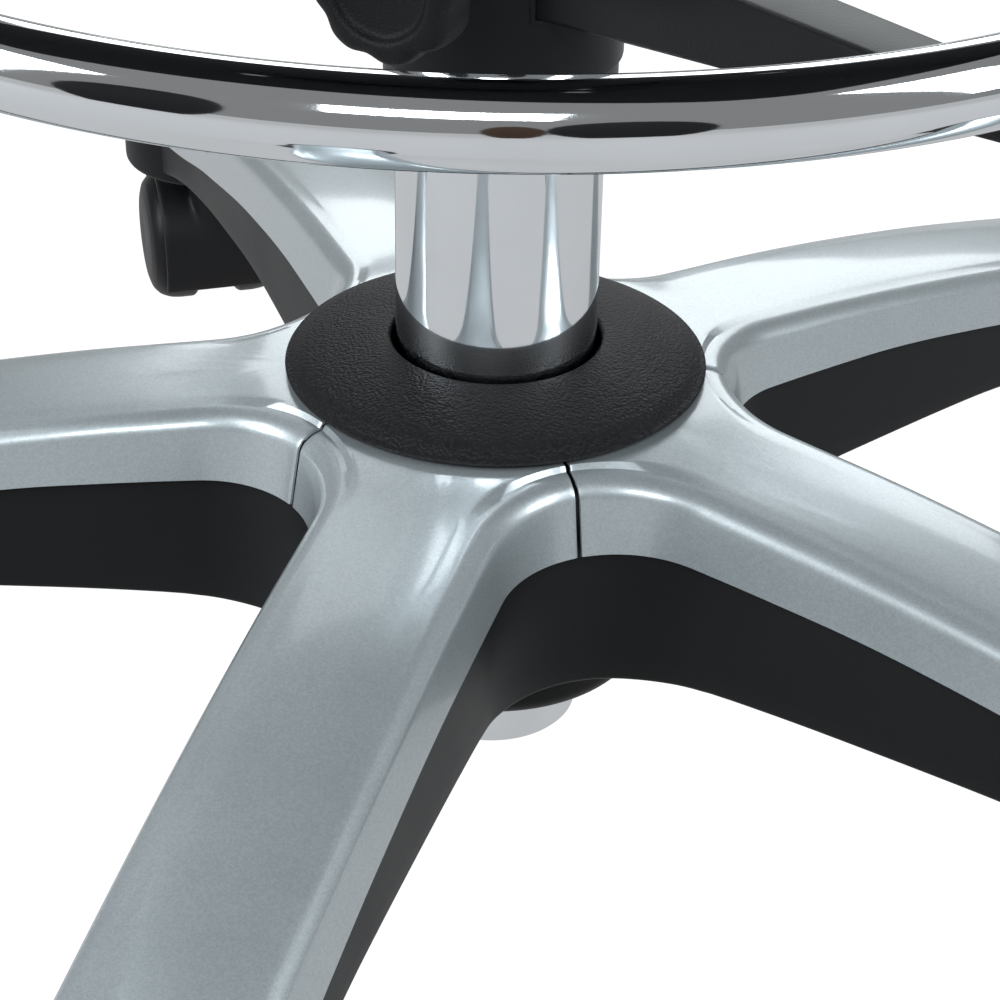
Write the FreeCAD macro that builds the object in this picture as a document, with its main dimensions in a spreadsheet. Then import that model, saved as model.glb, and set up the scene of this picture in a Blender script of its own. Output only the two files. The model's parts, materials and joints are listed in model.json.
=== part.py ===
import FreeCAD, Part
import math
import os
from types import SimpleNamespace

import Sketcher

# Drafting chair, in millimetres. The origin is on the floor under the column, +Z is up and the
# sitter faces -Y. The base has one arm along -Y. The seat is at its lowest, where the gas lift
# rests, and the foot ring is clamped part-way up the column.

ARMS = 5
ARM_STEP = 360 / ARMS
FIRST_ARM = 270 - 3 * ARM_STEP
SPOKES = 3
SPOKE_STEP = 360 / SPOKES
FIRST_SPOKE = 80.0
CLAMP_ANGLE = 260.0
CASTER_ANGLES = [78.0, 122.0, 170.0, 200.0, 10.0]
KNOB_LOBES = 8

SIZES = {
    # base and its covers
    "rim_rise": 82,
    "stem_radius": 320,
    "cover_half": 24.3,
    "cover_tip": 27.5,
    "cover_wall": 2.5,
    "cover_gap": 0.4,
    "seam_gap": 0.8,
    "web_radius": 29,
    "frame_wall": 3.5,
    "rib_width": 2.6,
    "head_radius": 32,
    "boss_wall": 17,
    "collar_radius": 52.6,
    "collar_lap": 8.6,
    "collar_gap": 1.3,
    "collar_rise": 6.5,
    # gas lift column
    "column_radius": 25,
    "column_wall": 1.6,
    "column_drop": 22.5,
    "column_rise": 247,
    "taper_drop": 18,
    "taper_slope": 0.0251,
    "column_floor": 3,
    "bush_length": 76,
    "bush_lip": 2,
    "lift_radius": 14,
    "lift_wall": 2,
    "lift_base": 42,
    "lift_show": 79,
    "lift_cone": 37,
    "rod_radius": 5,
    "rod_short": 30,
    "pin_radius": 4,
    "pin_rise": 6,
    "bearing_height": 7,
    "buffer_height": 18,
    "running_gap": 0.05,
    "clear_gap": 0.3,
    # foot ring and its clamp
    "ring_radius": 173,
    "ring_tube": 8,
    "ring_rise": 55.7,
    "sleeve_rise": 81,
    "sleeve_wall": 2.1,
    "sleeve_height": 62,
    "ring_bush_wall": 1.3,
    "ring_bush_lip": 5.5,
    "spoke_half": 9.4,
    "spoke_end_half": 7.3,
    "spoke_rise": 17.1,
    "spoke_height": 23,
    "spoke_end_height": 6,
    "spoke_past": 5,
    "clamp_rise": 33,
    "clamp_boss_length": 9.5,
    "clamp_boss_radius": 9,
    "stud_radius": 4,
    "pad_radius": 5.2,
    "pad_length": 2.5,
    "clamp_travel": 1.25,
    "knob_gap": 5,
    "knob_length": 16,
    "knob_radius": 18,
    # casters
    "wheel_radius": 25,
    "wheel_width": 18,
    "wheel_gap": 14.6,
    "trail": 20,
    "axle_radius": 3,
    "hood_wall": 3,
    "hood_clear": 1.2,
    "hood_over": 11.5,
    "hood_web": 14,
    "stem_thick": 5.5,
    "stem_thin": 4,
    "stem_depth": 22,
    "stem_flange": 8,
    "head_gap": 4.5,
    # tilting mechanism
    "case_half": 52,
    "case_wall": 3,
    "case_front": -110,
    "case_rear": 66,
    "case_drop": 33,
    "case_height": 70,
    "case_rear_height": 45,
    "case_slope_start": -60,
    "socket_wall": 5,
    "socket_drop": 4,
    "pivot_y": -85,
    "pivot_rise": 64,
    "pivot_radius": 5,
    "plate_rise": 77,
    "plate_thick": 3,
    "plate_half": 80,
    "plate_front": -130,
    "plate_rear": 130,
    "ear_half": 12,
    "spring_behind": 23,
    "spring_radius": 15,
    "spring_wire": 2.1,
    "spring_turns": 6.5,
    "cup_radius": 18,
    "cup_height": 4,
    "screw_radius": 4,
    "screw_rise": 29,
    "tension_radius": 21,
    "tension_drop": 37,
    "tension_height": 24,
    "lever_radius": 4,
    "lever_short": 30,
    "lever_pin": 2.5,
    "lever_saddle": 9,
    "grip_length": 58,
    "grip_half": 14,
    "grip_thick": 9,
    # seat
    "shell_thick": 2.5,
    "board_thick": 11,
    "board_inset": 8,
    "seat_half": 245,
    "seat_depth": 466,
    "seat_front": -235,
    "seat_thick": 68,
    "seat_corner": 70,
    "seat_round": 24,
    "bolt_radius": 3,
    "bolt_head": 5.5,
    "bolt_head_height": 4,
    "arm_mount_inset": 75,
    "arm_mount_spacing": 127,
    "arm_mount_radius": 4,
    # back
    "bar_half": 30,
    "bar_thick": 8,
    "bar_behind": 73,
    "bar_rise": 362,
    "bar_bend": 38,
    "panel_ahead": 42,
    "back_panel_thick": 6,
    "back_rise": 172,
    "back_height": 400,
    "back_half": 210,
    "back_thick": 50,
    "back_corner": 75,
    "back_round": 20,
    "guide_side": 15,
    "guide_wall": 9,
    "guide_rise": 80,
    "guide_height": 100,
    "back_knob_gap": 9,
    "back_knob_length": 26,
    "back_knob_radius": 20,
}

V = FreeCAD.Vector
doc = FreeCAD.newDocument("drafting_chair")
sheet = doc.addObject("Spreadsheet::Sheet", "sizes")
nodes = []


class Size:
    """A size as a number, with the sheet formula that gives it."""

    def __init__(self, number, formula=None):
        self.number = float(number)
        self.formula = formula or f"{number:.9g}"

    def joined(self, other, sign, number):
        other = size(other)
        return Size(number(self.number, other.number), f"({self.formula} {sign} {other.formula})")

    def __add__(self, other):
        return self.joined(other, "+", lambda a, b: a + b)

    def __sub__(self, other):
        return self.joined(other, "-", lambda a, b: a - b)

    def __mul__(self, other):
        return self.joined(other, "*", lambda a, b: a * b)

    def __truediv__(self, other):
        return self.joined(other, "/", lambda a, b: a / b)

    def __neg__(self):
        return self * -1

    def __radd__(self, other):
        return size(other) + self

    def __rsub__(self, other):
        return size(other) - self

    def __rmul__(self, other):
        return size(other) * self


def size(value):
    return value if isinstance(value, Size) else Size(value)


def fill_sheet():
    """Write each driving size to its cell and return them all under their names."""
    for row, (name, value) in enumerate(SIZES.items(), start=1):
        sheet.set(f"A{row}", name)
        sheet.set(f"B{row}", str(value))
        sheet.setAlias(f"B{row}", name)
    doc.recompute()
    return SimpleNamespace(**{name: Size(value, f"sizes.{name}") for name, value in SIZES.items()})


def place_pieces(d):
    """Add the places that follow from the sizes, from the floor up."""
    d.hood_top = d.wheel_radius * 2 + d.hood_over
    d.head_bottom = d.hood_top + d.head_gap
    d.stem_foot = d.wheel_radius + 11
    d.stem_reach = d.head_bottom + d.stem_depth
    d.rim_height = d.head_bottom + d.rim_rise
    d.cover_bore = d.collar_radius - d.collar_lap
    d.collar_hole = d.column_radius + d.collar_gap
    d.boss_radius = d.column_radius + d.boss_wall
    d.column_bottom = d.head_bottom - d.column_drop
    d.column_top = d.rim_height + d.column_rise
    d.taper_top = d.rim_height - d.taper_drop
    d.lift_bottom = d.column_bottom + d.lift_base
    d.lift_top = d.column_top + d.lift_show
    d.rod_top = d.column_top - d.rod_short
    d.liner_radius = d.column_radius + d.running_gap + d.ring_bush_wall
    d.sleeve_bore = d.liner_radius + d.running_gap
    d.sleeve_radius = d.sleeve_bore + d.sleeve_wall
    d.sleeve_bottom = d.rim_height + d.sleeve_rise
    d.ring_height = d.sleeve_bottom + d.ring_rise
    d.spoke_low = d.sleeve_bottom + d.spoke_rise
    d.spoke_reach = d.ring_radius + d.spoke_past
    d.clamp_height = d.sleeve_bottom + d.clamp_rise
    d.clamp_boss = d.sleeve_radius + d.clamp_boss_length
    d.pad_start = d.sleeve_bore + 0.6
    d.knob_start = d.clamp_boss + d.knob_gap
    d.case_floor = d.lift_top - d.case_drop
    d.case_top = d.case_floor + d.case_height
    d.case_rear_top = d.case_floor + d.case_rear_height
    d.socket_radius = d.lift_radius + d.socket_wall
    d.pivot_z = d.case_floor + d.pivot_rise
    d.plate_low = d.case_floor + d.plate_rise
    d.spring_y = d.socket_radius + d.spring_behind
    d.screw_top = d.case_floor + d.screw_rise
    d.tension_low = d.case_floor - d.tension_drop
    d.lever_height = d.lift_top + d.pin_rise + d.clear_gap + d.lever_radius
    d.lever_pivot = d.case_half - d.case_wall / 2
    d.lever_end = d.seat_half - d.lever_short
    d.grip_start = d.lever_end - 11
    d.board_half = d.seat_half - d.board_inset
    d.board_depth = d.seat_depth - 20
    d.board_front = d.seat_front + 12
    d.arm_mount_x = d.seat_half - d.arm_mount_inset
    d.bar_start = d.case_rear + 6
    d.bar_back = d.seat_front + d.seat_depth + d.bar_behind
    d.bar_top = d.plate_low + d.bar_rise
    d.back_panel_y = d.bar_back - d.panel_ahead
    d.back_low = d.plate_low + d.back_rise
    d.guide_half = d.bar_half + d.guide_side
    d.guide_rear = d.bar_back + d.guide_wall
    d.guide_low = d.back_low + d.guide_rise
    d.back_knob_y = d.guide_rear + d.back_knob_gap
    return d


d = place_pieces(fill_sheet())


# ---- helpers ---------------------------------------------------------------------------------


def bind(thing, prop, value):
    """Tie a property to its formula, which the next recompute works out."""
    thing.setExpression(prop, size(value).formula)


def put(thing, at=(0, 0, 0), turn=None):
    """Turn a thing, then tie the place of its origin."""
    if turn:
        thing.Placement = FreeCAD.Placement(V(), turn)
    for axis, value in zip("xyz", at):
        bind(thing, f"Placement.Base.{axis}", value)
    return thing


def about_z(degrees):
    return FreeCAD.Rotation(V(0, 0, 1), degrees)


def along(direction):
    """The turn that lays local +Z along a direction."""
    return FreeCAD.Rotation(V(0, 0, 1), V(*direction))


def polar(radius, degrees):
    return (radius * math.cos(math.radians(degrees)), radius * math.sin(math.radians(degrees)))


def node(thing, name):
    """Name a finished sub-part, which is written to a file of that name."""
    thing.Label = name
    nodes.append(thing)
    return thing


def new_body(name):
    return doc.addObject("PartDesign::Body", name)


def origin_part(body, role):
    return next(f for f in body.Origin.OriginFeatures if f.Role == role)


def new_sketch(body, role, offset=0):
    sketch = body.newObject("Sketcher::SketchObject", "outline")
    sketch.AttachmentSupport = [(origin_part(body, role), "")]
    sketch.MapMode = "FlatFace"
    bind(sketch, "AttachmentOffset.Base.z", offset)
    return sketch


def add_constraint(sketch, kind, *where, value=None):
    if value is None:
        sketch.addConstraint(Sketcher.Constraint(kind, *where))
        return
    index = sketch.addConstraint(Sketcher.Constraint(kind, *where, value.number))
    sketch.setExpression(f"Constraints[{index}]", value.formula)


def add_polygon(sketch, points):
    """Draw a closed outline of straight lines with every corner tied to the sheet."""
    points = [(size(x), size(y)) for x, y in points]
    first = sketch.GeometryCount
    count = len(points)
    for i, (x, y) in enumerate(points):
        far_x, far_y = points[(i + 1) % count]
        start, end = V(x.number, y.number, 0), V(far_x.number, far_y.number, 0)
        sketch.addGeometry(Part.LineSegment(start, end))
    for i in range(count):
        add_constraint(sketch, "Coincident", first + i, 2, first + (i + 1) % count, 1)
    for i, (x, y) in enumerate(points):
        add_constraint(sketch, "DistanceX", -1, 1, first + i, 1, value=x)
        add_constraint(sketch, "DistanceY", -1, 1, first + i, 1, value=y)
    return sketch


def add_circle(sketch, x, y, radius):
    x, y, radius = size(x), size(y), size(radius)
    index = sketch.GeometryCount
    sketch.addGeometry(Part.Circle(V(x.number, y.number, 0), V(0, 0, 1), radius.number))
    add_constraint(sketch, "DistanceX", -1, 1, index, 3, value=x)
    add_constraint(sketch, "DistanceY", -1, 1, index, 3, value=y)
    add_constraint(sketch, "Radius", index, value=radius)
    return sketch


def rectangle(x0, y0, x1, y1):
    return [(x0, y0), (x1, y0), (x1, y1), (x0, y1)]


def pad(body, sketch, length, middle=False):
    feature = body.newObject("PartDesign::Pad", "pad")
    feature.Profile = sketch
    bind(feature, "Length", length)
    feature.Midplane = middle
    return feature


def revolve(body, kind, points):
    """Turn an outline of (radius, height) points about the Z axis, to add or to cut."""
    sketch = add_polygon(new_sketch(body, "XZ_Plane"), points)
    feature = body.newObject(f"PartDesign::{kind}", kind.lower())
    feature.Profile = sketch
    feature.ReferenceAxis = (sketch, ["V_Axis"])
    feature.Angle = 360
    return feature


def pattern(body, features, count):
    feature = body.newObject("PartDesign::PolarPattern", "around")
    feature.Originals = features
    feature.Axis = (origin_part(body, "Z_Axis"), [""])
    feature.Angle = 360
    feature.Occurrences = count
    body.Tip = feature
    doc.recompute()
    return feature


def round_edges(body, chosen, radius):
    """Fillet the edges of the body so far that the test picks."""
    doc.recompute()
    base = body.Tip
    names = [f"Edge{i}" for i, edge in enumerate(base.Shape.Edges, start=1) if chosen(edge)]
    if not names:
        raise RuntimeError(f"no edge to round in {body.Name}")
    feature = body.newObject("PartDesign::Fillet", "fillet")
    feature.Base = (base, names)
    bind(feature, "Radius", radius)
    doc.recompute()
    return feature


def is_upright(edge):
    low, high = edge.BoundBox.ZMin, edge.BoundBox.ZMax
    return high - low > 1 and edge.BoundBox.XLength < 0.01 and edge.BoundBox.YLength < 0.01


def turned(name, points):
    body = new_body(name)
    revolve(body, "Revolution", points)
    return body


def cylinder(radius, height, at=(0, 0, 0), turn=None):
    thing = doc.addObject("Part::Cylinder", "round")
    bind(thing, "Radius", radius)
    bind(thing, "Height", height)
    return put(thing, at, turn)


def cone(low_radius, high_radius, height, at=(0, 0, 0)):
    thing = doc.addObject("Part::Cone", "taper")
    bind(thing, "Radius1", low_radius)
    bind(thing, "Radius2", high_radius)
    bind(thing, "Height", height)
    return put(thing, at)


def block(x0, y0, z0, x1, y1, z1):
    thing = doc.addObject("Part::Box", "block")
    bind(thing, "Length", size(x1) - x0)
    bind(thing, "Width", size(y1) - y0)
    bind(thing, "Height", size(z1) - z0)
    return put(thing, (x0, y0, z0))


def cut(base, tool):
    thing = doc.addObject("Part::Cut", "cut")
    thing.Base = base
    thing.Tool = tool
    return thing


def fused(things):
    thing = doc.addObject("Part::MultiFuse", "joined")
    thing.Shapes = things
    return thing


def common(first, second):
    thing = doc.addObject("Part::Common", "shared")
    thing.Base = first
    thing.Tool = second
    return thing


def group(things):
    thing = doc.addObject("Part::Compound", "group")
    thing.Links = things
    return thing


def cut_all(base, tools):
    return cut(base, tools[0] if len(tools) == 1 else fused(tools))


X_AXIS = (1, 0, 0)
Y_AXIS = (0, 1, 0)
SKY = 260
FAR = 500
ARM_END = 1.125
SKIRT_DROP = 62


# ---- base ------------------------------------------------------------------------------------


def along_arm(rim, places):
    """Points at shares of the way out to the caster stems, at heights from the collar's rim."""
    return [(d.stem_radius * share, rim + height) for share, height in places]


def top_profile(drop):
    """Heights along the arm of the covers' upper surface, lowered by a drop."""
    rim = d.rim_height - drop
    hub = [(0, rim - 1), (52, rim - 2), (70, rim - 4.4), (110, rim - 8.5)]
    return hub + along_arm(rim, [(0.5, -16), (0.69, -28.5), (0.94, -47), (ARM_END, -55)])


def skirt_profile():
    """Heights along the arm of the covers' lower edge."""
    rim = d.rim_height
    hub = [(0, rim - 21.5), (60, rim - 21.5), (110, rim - 23.5)]
    return hub + along_arm(rim, [(0.5, -30), (0.69, -43.2), (0.9, -60.5), (ARM_END, -SKIRT_DROP)])


def belly_profile():
    """Heights along the arm of the frame's lower edge, an arch that ends in the caster's head."""
    rim = d.rim_height
    hub = [(0, rim - 60.5), (62, rim - 60.5), (85, rim - 57.8), (115, rim - 56.2)]
    arch = along_arm(rim, [(0.5, -55.2), (0.69, -61), (0.885, -73)])
    return hub + arch + [(d.stem_radius, d.head_bottom), (d.stem_radius * ARM_END, d.head_bottom)]


def trim_above(body, profile):
    revolve(body, "Groove", profile + [(profile[-1][0], SKY), (0, SKY)])


def trim_below(body, profile):
    revolve(body, "Groove", profile + [(profile[-1][0], 0), (0, 0)])


def star(name, half_width, web_radius, reach, tip_radius=None):
    """An upright prism of five arms with rounded inner corners."""
    body = new_body(name)
    arm = pad(body, add_polygon(new_sketch(body, "XY_Plane"),
                                rectangle(0, -half_width, reach, half_width)), SKY)
    features = [arm]
    if tip_radius is not None:
        tip = add_circle(new_sketch(body, "XY_Plane"), reach, 0, tip_radius)
        features.append(pad(body, tip, SKY))
    pattern(body, features, ARMS)
    inner = half_width.number / math.sin(math.radians(ARM_STEP / 2))

    def is_inner(edge):
        middle = edge.CenterOfMass
        return is_upright(edge) and abs(math.hypot(middle.x, middle.y) - inner) < 0.5

    round_edges(body, is_inner, web_radius)
    return put(body, turn=about_z(FIRST_ARM))


def frame_ribs():
    """One rib along each arm and four across it, trimmed to the inside of the arms."""
    body = new_body("ribs")
    half = d.cover_half - d.cover_wall - d.cover_gap - 1
    end = d.stem_radius - 12
    spine = add_polygon(new_sketch(body, "XY_Plane"),
                        rectangle(36, -d.rib_width / 2, end, d.rib_width / 2))
    across = new_sketch(body, "XY_Plane")
    for share in (0.28, 0.43, 0.58, 0.73):
        middle = d.stem_radius * share
        add_polygon(across, rectangle(middle - d.rib_width / 2, -half,
                                      middle + d.rib_width / 2, half))
    features = [pad(body, spine, SKY), pad(body, across, SKY)]
    pattern(body, features, ARMS)
    trim_above(body, top_profile(d.cover_wall + d.cover_gap + 1))
    trim_below(body, [(radius, height + 3) for radius, height in belly_profile()])
    return put(body, turn=about_z(FIRST_ARM))


def base_frame():
    half = d.cover_half - d.cover_wall - d.cover_gap
    web = d.web_radius + d.cover_wall + d.cover_gap
    outside = star("frame_outside", half, web, d.stem_radius,
                   d.cover_tip - d.cover_wall - d.cover_gap)
    trim_above(outside, top_profile(d.cover_wall + d.cover_gap))
    trim_below(outside, belly_profile())
    pocket = star("frame_pocket", half - d.frame_wall, web + d.frame_wall, d.stem_radius - 14)
    trim_above(pocket, top_profile(d.cover_wall + d.cover_gap + d.frame_wall))
    boss_top = d.rim_height - 6
    boss = cylinder(d.boss_radius - 8, boss_top - d.head_bottom, at=(0, 0, d.head_bottom))
    flange = cylinder(d.boss_radius, 24, at=(0, 0, d.head_bottom))
    head_top = d.rim_height - SKIRT_DROP - d.cover_gap
    heads, sockets = [], []
    for i in range(ARMS):
        x, y = polar(d.stem_radius, FIRST_ARM + i * ARM_STEP)
        heads.append(cylinder(d.head_radius, head_top - d.head_bottom, at=(x, y, d.head_bottom)))
        sockets.append(cylinder(d.stem_thick, d.stem_reach, at=(x, y, 0)))
    whole = fused([cut(outside, pocket), frame_ribs(), boss, flange] + heads)
    gap = d.running_gap
    bore = [cone(taper_radius(d.column_bottom) + gap, d.column_radius + gap,
                 d.taper_top - d.column_bottom, at=(0, 0, d.column_bottom)),
            cylinder(d.column_radius + gap, 60, at=(0, 0, d.taper_top))]
    node(cut_all(whole, bore + sockets), "base_frame")


def arm_covers():
    """Five shells that meet in seams half-way between the arms."""
    for i in range(ARMS):
        outer = star("cover_outside", d.cover_half, d.web_radius, d.stem_radius, d.cover_tip)
        trim_above(outer, top_profile(size(0)))
        trim_below(outer, skirt_profile())
        inner = star("cover_inside", d.cover_half - d.cover_wall, d.web_radius + d.cover_wall,
                     d.stem_radius, d.cover_tip - d.cover_wall)
        trim_above(inner, top_profile(d.cover_wall))
        wedge = new_body("cover_wedge")
        apex = d.seam_gap / (2 * math.sin(math.radians(ARM_STEP / 2)))
        spread = math.tan(math.radians(ARM_STEP / 2))
        pad(wedge, add_polygon(new_sketch(wedge, "XY_Plane"),
                               [(apex, 0), (apex + FAR, -FAR * spread),
                                (apex + FAR, FAR * spread)]), SKY)
        put(wedge, turn=about_z(FIRST_ARM + i * ARM_STEP))
        hollow = fused([inner, cylinder(d.cover_bore, SKY)])
        node(common(cut(outer, hollow), wedge), f"arm_cover_{i + 1}")


def taper_radius(height):
    """Outer radius of the column where its lower end tapers."""
    return d.column_radius - (d.taper_top - height) * d.taper_slope


def hub_collar():
    rim = d.rim_height
    node(turned("collar", [
        (d.collar_hole, rim + d.collar_rise), (d.collar_hole, rim + d.collar_rise - 2.5),
        (d.cover_bore - 4, rim - 1), (d.cover_bore - 4, rim - 4.2), (d.cover_bore - 1.5, rim - 4.2),
        (d.cover_bore - 1.5, rim - 1), (d.collar_radius - 1, rim - 1),
        (d.collar_radius, rim - 0.4), (d.collar_radius - 0.6, rim + 0.5),
        (d.collar_hole + 16, rim + d.collar_rise * 0.7), (d.collar_hole + 6, rim + d.collar_rise),
    ]), "hub_collar")


def caster_stems():
    """Grip-ring stems, pressed into the arm ends, on which the hoods turn."""
    stems = []
    for i in range(ARMS):
        stem = turned("stem", [
            (0, d.stem_foot), (d.stem_thin, d.stem_foot), (d.stem_thin, d.hood_top + 0.5),
            (d.stem_flange, d.hood_top + 0.5), (d.stem_flange, d.head_bottom),
            (d.stem_thick, d.head_bottom), (d.stem_thick, d.stem_reach - 1),
            (d.stem_thick - 1, d.stem_reach), (0, d.stem_reach),
        ])
        x, y = polar(d.stem_radius, FIRST_ARM + i * ARM_STEP)
        stems.append(put(stem, (x, y, 0)))
    node(group(stems), "caster_stems")


# ---- casters ---------------------------------------------------------------------------------


def hood_solid():
    """Web between the wheels, guard over them and the socket that turns on the stem."""
    outer = d.wheel_radius + d.hood_clear + d.hood_wall
    width = d.wheel_width * 1.5 + d.wheel_gap
    side = along((0, 1, 0))
    centre = (d.trail, -width / 2, d.wheel_radius)
    guard = cylinder(outer, width, centre, side)
    room = []
    for sign in (-1, 1):
        low = d.hood_web / 2 if sign > 0 else -(d.hood_web / 2 + d.wheel_width + 3)
        room.append(cylinder(d.wheel_radius + d.hood_clear, d.wheel_width + 3,
                             (d.trail, low, d.wheel_radius), side))
    rear = block(d.trail - 8, -60, -20, d.trail + 60, 60, d.wheel_radius + 14)
    lower = block(-60, -60, -20, d.trail + 60, 60, d.wheel_radius - 13)
    shell = cut_all(guard, room + [rear, lower])
    web = cylinder(d.wheel_radius - 7, d.hood_web, (d.trail, -d.hood_web / 2, d.wheel_radius), side)
    nose = cylinder(d.hood_web / 2 + 1.5, d.hood_top - 22, (0, 0, 22))
    clear = []
    for sign in (-1, 1):
        low = d.wheel_gap / 2 - 0.2 if sign > 0 else -(d.wheel_gap / 2 - 0.2 + d.wheel_width)
        clear.append(cylinder(d.wheel_radius + d.hood_clear, d.wheel_width,
                              (d.trail, low, d.wheel_radius), side))
    solid = fused([shell, web, cut_all(nose, clear)])
    socket = cylinder(d.stem_thin + d.running_gap, d.hood_top, (0, 0, d.stem_foot - 1))
    axle = cylinder(d.axle_radius, 80, (d.trail, -40, d.wheel_radius), side)
    return cut_all(solid, [socket, axle])


def wheel_solid(side):
    """A wheel with a full, rounded outer face, bored for the axle."""
    bore = d.axle_radius + d.running_gap
    rim = d.wheel_radius
    wide = d.wheel_width
    wheel = turned("wheel", [
        (bore, 0), (rim - 1.5, 0), (rim, 1.5), (rim, wide * 0.45), (rim - 1.2, wide * 0.66),
        (rim - 4.5, wide * 0.86), (rim - 10, wide), (bore, wide),
    ])
    low = d.wheel_gap / 2 * side
    return put(wheel, (d.trail, low, d.wheel_radius), along((0, side, 0)))


def casters():
    side = along((0, 1, 0))
    for i, angle in enumerate(CASTER_ANGLES):
        x, y = polar(d.stem_radius, FIRST_ARM + i * ARM_STEP)
        half = d.wheel_gap / 2 + d.wheel_width - 2
        axle = cylinder(d.axle_radius, half * 2, (d.trail, -half, d.wheel_radius), side)
        pieces = {"hood": hood_solid(), "axle": axle,
                  "wheel_left": wheel_solid(1), "wheel_right": wheel_solid(-1)}
        for name, piece in pieces.items():
            placed = put(group([piece]), (x, y, 0), about_z(angle))
            node(placed, f"caster_{name}_{i + 1}")


# ---- gas lift --------------------------------------------------------------------------------


def gas_lift():
    wall = d.column_wall
    foot = d.column_bottom
    floor = foot + d.column_floor
    inside = d.column_radius - wall
    node(turned("tube", [
        (d.rod_radius + d.running_gap, foot), (taper_radius(foot), foot),
        (d.column_radius, d.taper_top), (d.column_radius, d.column_top),
        (inside, d.column_top), (inside, d.taper_top), (taper_radius(floor) - wall, floor),
        (d.rod_radius + d.running_gap, floor),
    ]), "column_tube")
    bore = d.lift_radius + d.running_gap
    node(turned("bush", [
        (bore, d.column_top - d.bush_length), (inside, d.column_top - d.bush_length),
        (inside, d.column_top), (d.column_radius, d.column_top),
        (d.column_radius, d.column_top + d.bush_lip - 1),
        (d.column_radius - 1, d.column_top + d.bush_lip), (bore, d.column_top + d.bush_lip),
    ]), "column_bush")
    thrust_bearing(floor)
    hole = d.rod_radius + 0.2
    buffer_low = floor + d.bearing_height
    node(turned("buffer", rectangle(hole, buffer_low, d.lift_radius - 2,
                                    buffer_low + d.buffer_height)), "rubber_buffer")
    rod_end = foot - 4
    node(turned("rod", [
        (0, rod_end), (d.rod_radius, rod_end), (d.rod_radius, foot - 2), (d.rod_radius - 1, foot - 2),
        (d.rod_radius - 1, foot - 0.8), (d.rod_radius, foot - 0.8), (d.rod_radius, d.rod_top - 10),
        (lift_bore() - d.running_gap, d.rod_top - 10), (lift_bore() - d.running_gap, d.rod_top),
        (0, d.rod_top),
    ]), "piston_rod")
    node(turned("clip", rectangle(d.rod_radius - 1, foot - 2, d.rod_radius + 4, foot - 0.8)),
         "rod_clip")
    cone_low = d.lift_top - d.lift_cone
    node(turned("cylinder", [
        (d.rod_radius + d.running_gap, d.lift_bottom), (d.lift_radius, d.lift_bottom),
        (d.lift_radius, cone_low), (cone_top_radius(), d.lift_top),
        (d.pin_radius + d.running_gap, d.lift_top), (d.pin_radius + d.running_gap, d.lift_top - 20),
        (lift_bore(), d.lift_top - 20), (lift_bore(), d.lift_bottom + 4),
        (d.rod_radius + d.running_gap, d.lift_bottom + 4),
    ]), "gas_cylinder")
    node(cylinder(d.pin_radius, 20 + d.pin_rise - 4, (0, 0, d.lift_top - 16)), "release_pin")


def lift_bore():
    return d.lift_radius - d.lift_wall


def cone_top_radius():
    return d.lift_radius - d.lift_cone * d.taper_slope


def thrust_bearing(floor):
    """Two races with a ring of balls between them, under the piston rod's cylinder."""
    hole = d.rod_radius + 0.2
    outer = d.lift_radius - 2
    race = d.bearing_height / 4
    low = turned("race", rectangle(hole, floor, outer, floor + race))
    high = turned("race", rectangle(hole, floor + d.bearing_height - race, outer,
                                    floor + d.bearing_height))
    pieces = [low, high]
    balls = 8
    for i in range(balls):
        ball = doc.addObject("Part::Sphere", "ball")
        bind(ball, "Radius", d.bearing_height / 4)
        x, y = polar((hole + outer) / 2, i * 360 / balls)
        pieces.append(put(ball, (x, y, floor + d.bearing_height / 2)))
    node(group(pieces), "thrust_bearing")


# ---- foot ring -------------------------------------------------------------------------------


def foot_ring():
    bush_out = d.liner_radius
    bore = d.column_radius + d.running_gap
    low, high = d.sleeve_bottom, d.sleeve_bottom + d.sleeve_height
    lip = d.sleeve_radius - 1
    node(turned("ring_liner", [
        (bore, low - d.ring_bush_lip), (lip - 0.8, low - d.ring_bush_lip),
        (lip, low - d.ring_bush_lip + 1), (lip, low - d.clear_gap), (bush_out, low - d.clear_gap),
        (bush_out, high + d.clear_gap), (lip, high + d.clear_gap), (lip, high + 2), (bore, high + 2),
    ]), "ring_bush")
    ring = doc.addObject("Part::Torus", "ring")
    bind(ring, "Radius1", d.ring_radius)
    bind(ring, "Radius2", d.ring_tube)
    node(put(ring, (0, 0, d.ring_height)), "foot_ring")
    ring_hub(d.sleeve_bore)
    ring_spokes()
    clamp_screw()


def ring_hub(bore):
    """Welded sleeve with a boss on one side for the clamp's stud."""
    sleeve = cylinder(d.sleeve_radius, d.sleeve_height, (0, 0, d.sleeve_bottom))
    outward = polar(Size(1), CLAMP_ANGLE)
    way = along((outward[0].number, outward[1].number, 0))
    centre = (0, 0, d.clamp_height)
    boss = cylinder(d.clamp_boss_radius, d.clamp_boss, centre, way)
    pad_room = cylinder(d.pad_radius + d.running_gap,
                        d.pad_start + d.pad_length + d.clamp_travel + 0.3, centre, way)
    thread = cylinder(d.stud_radius + d.running_gap, d.clamp_boss + 5, centre, way)
    hollow = cylinder(bore, d.sleeve_height + 40, (0, 0, d.sleeve_bottom - 20))
    node(cut_all(fused([sleeve, boss]), [hollow, pad_room, thread]), "ring_hub")


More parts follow.
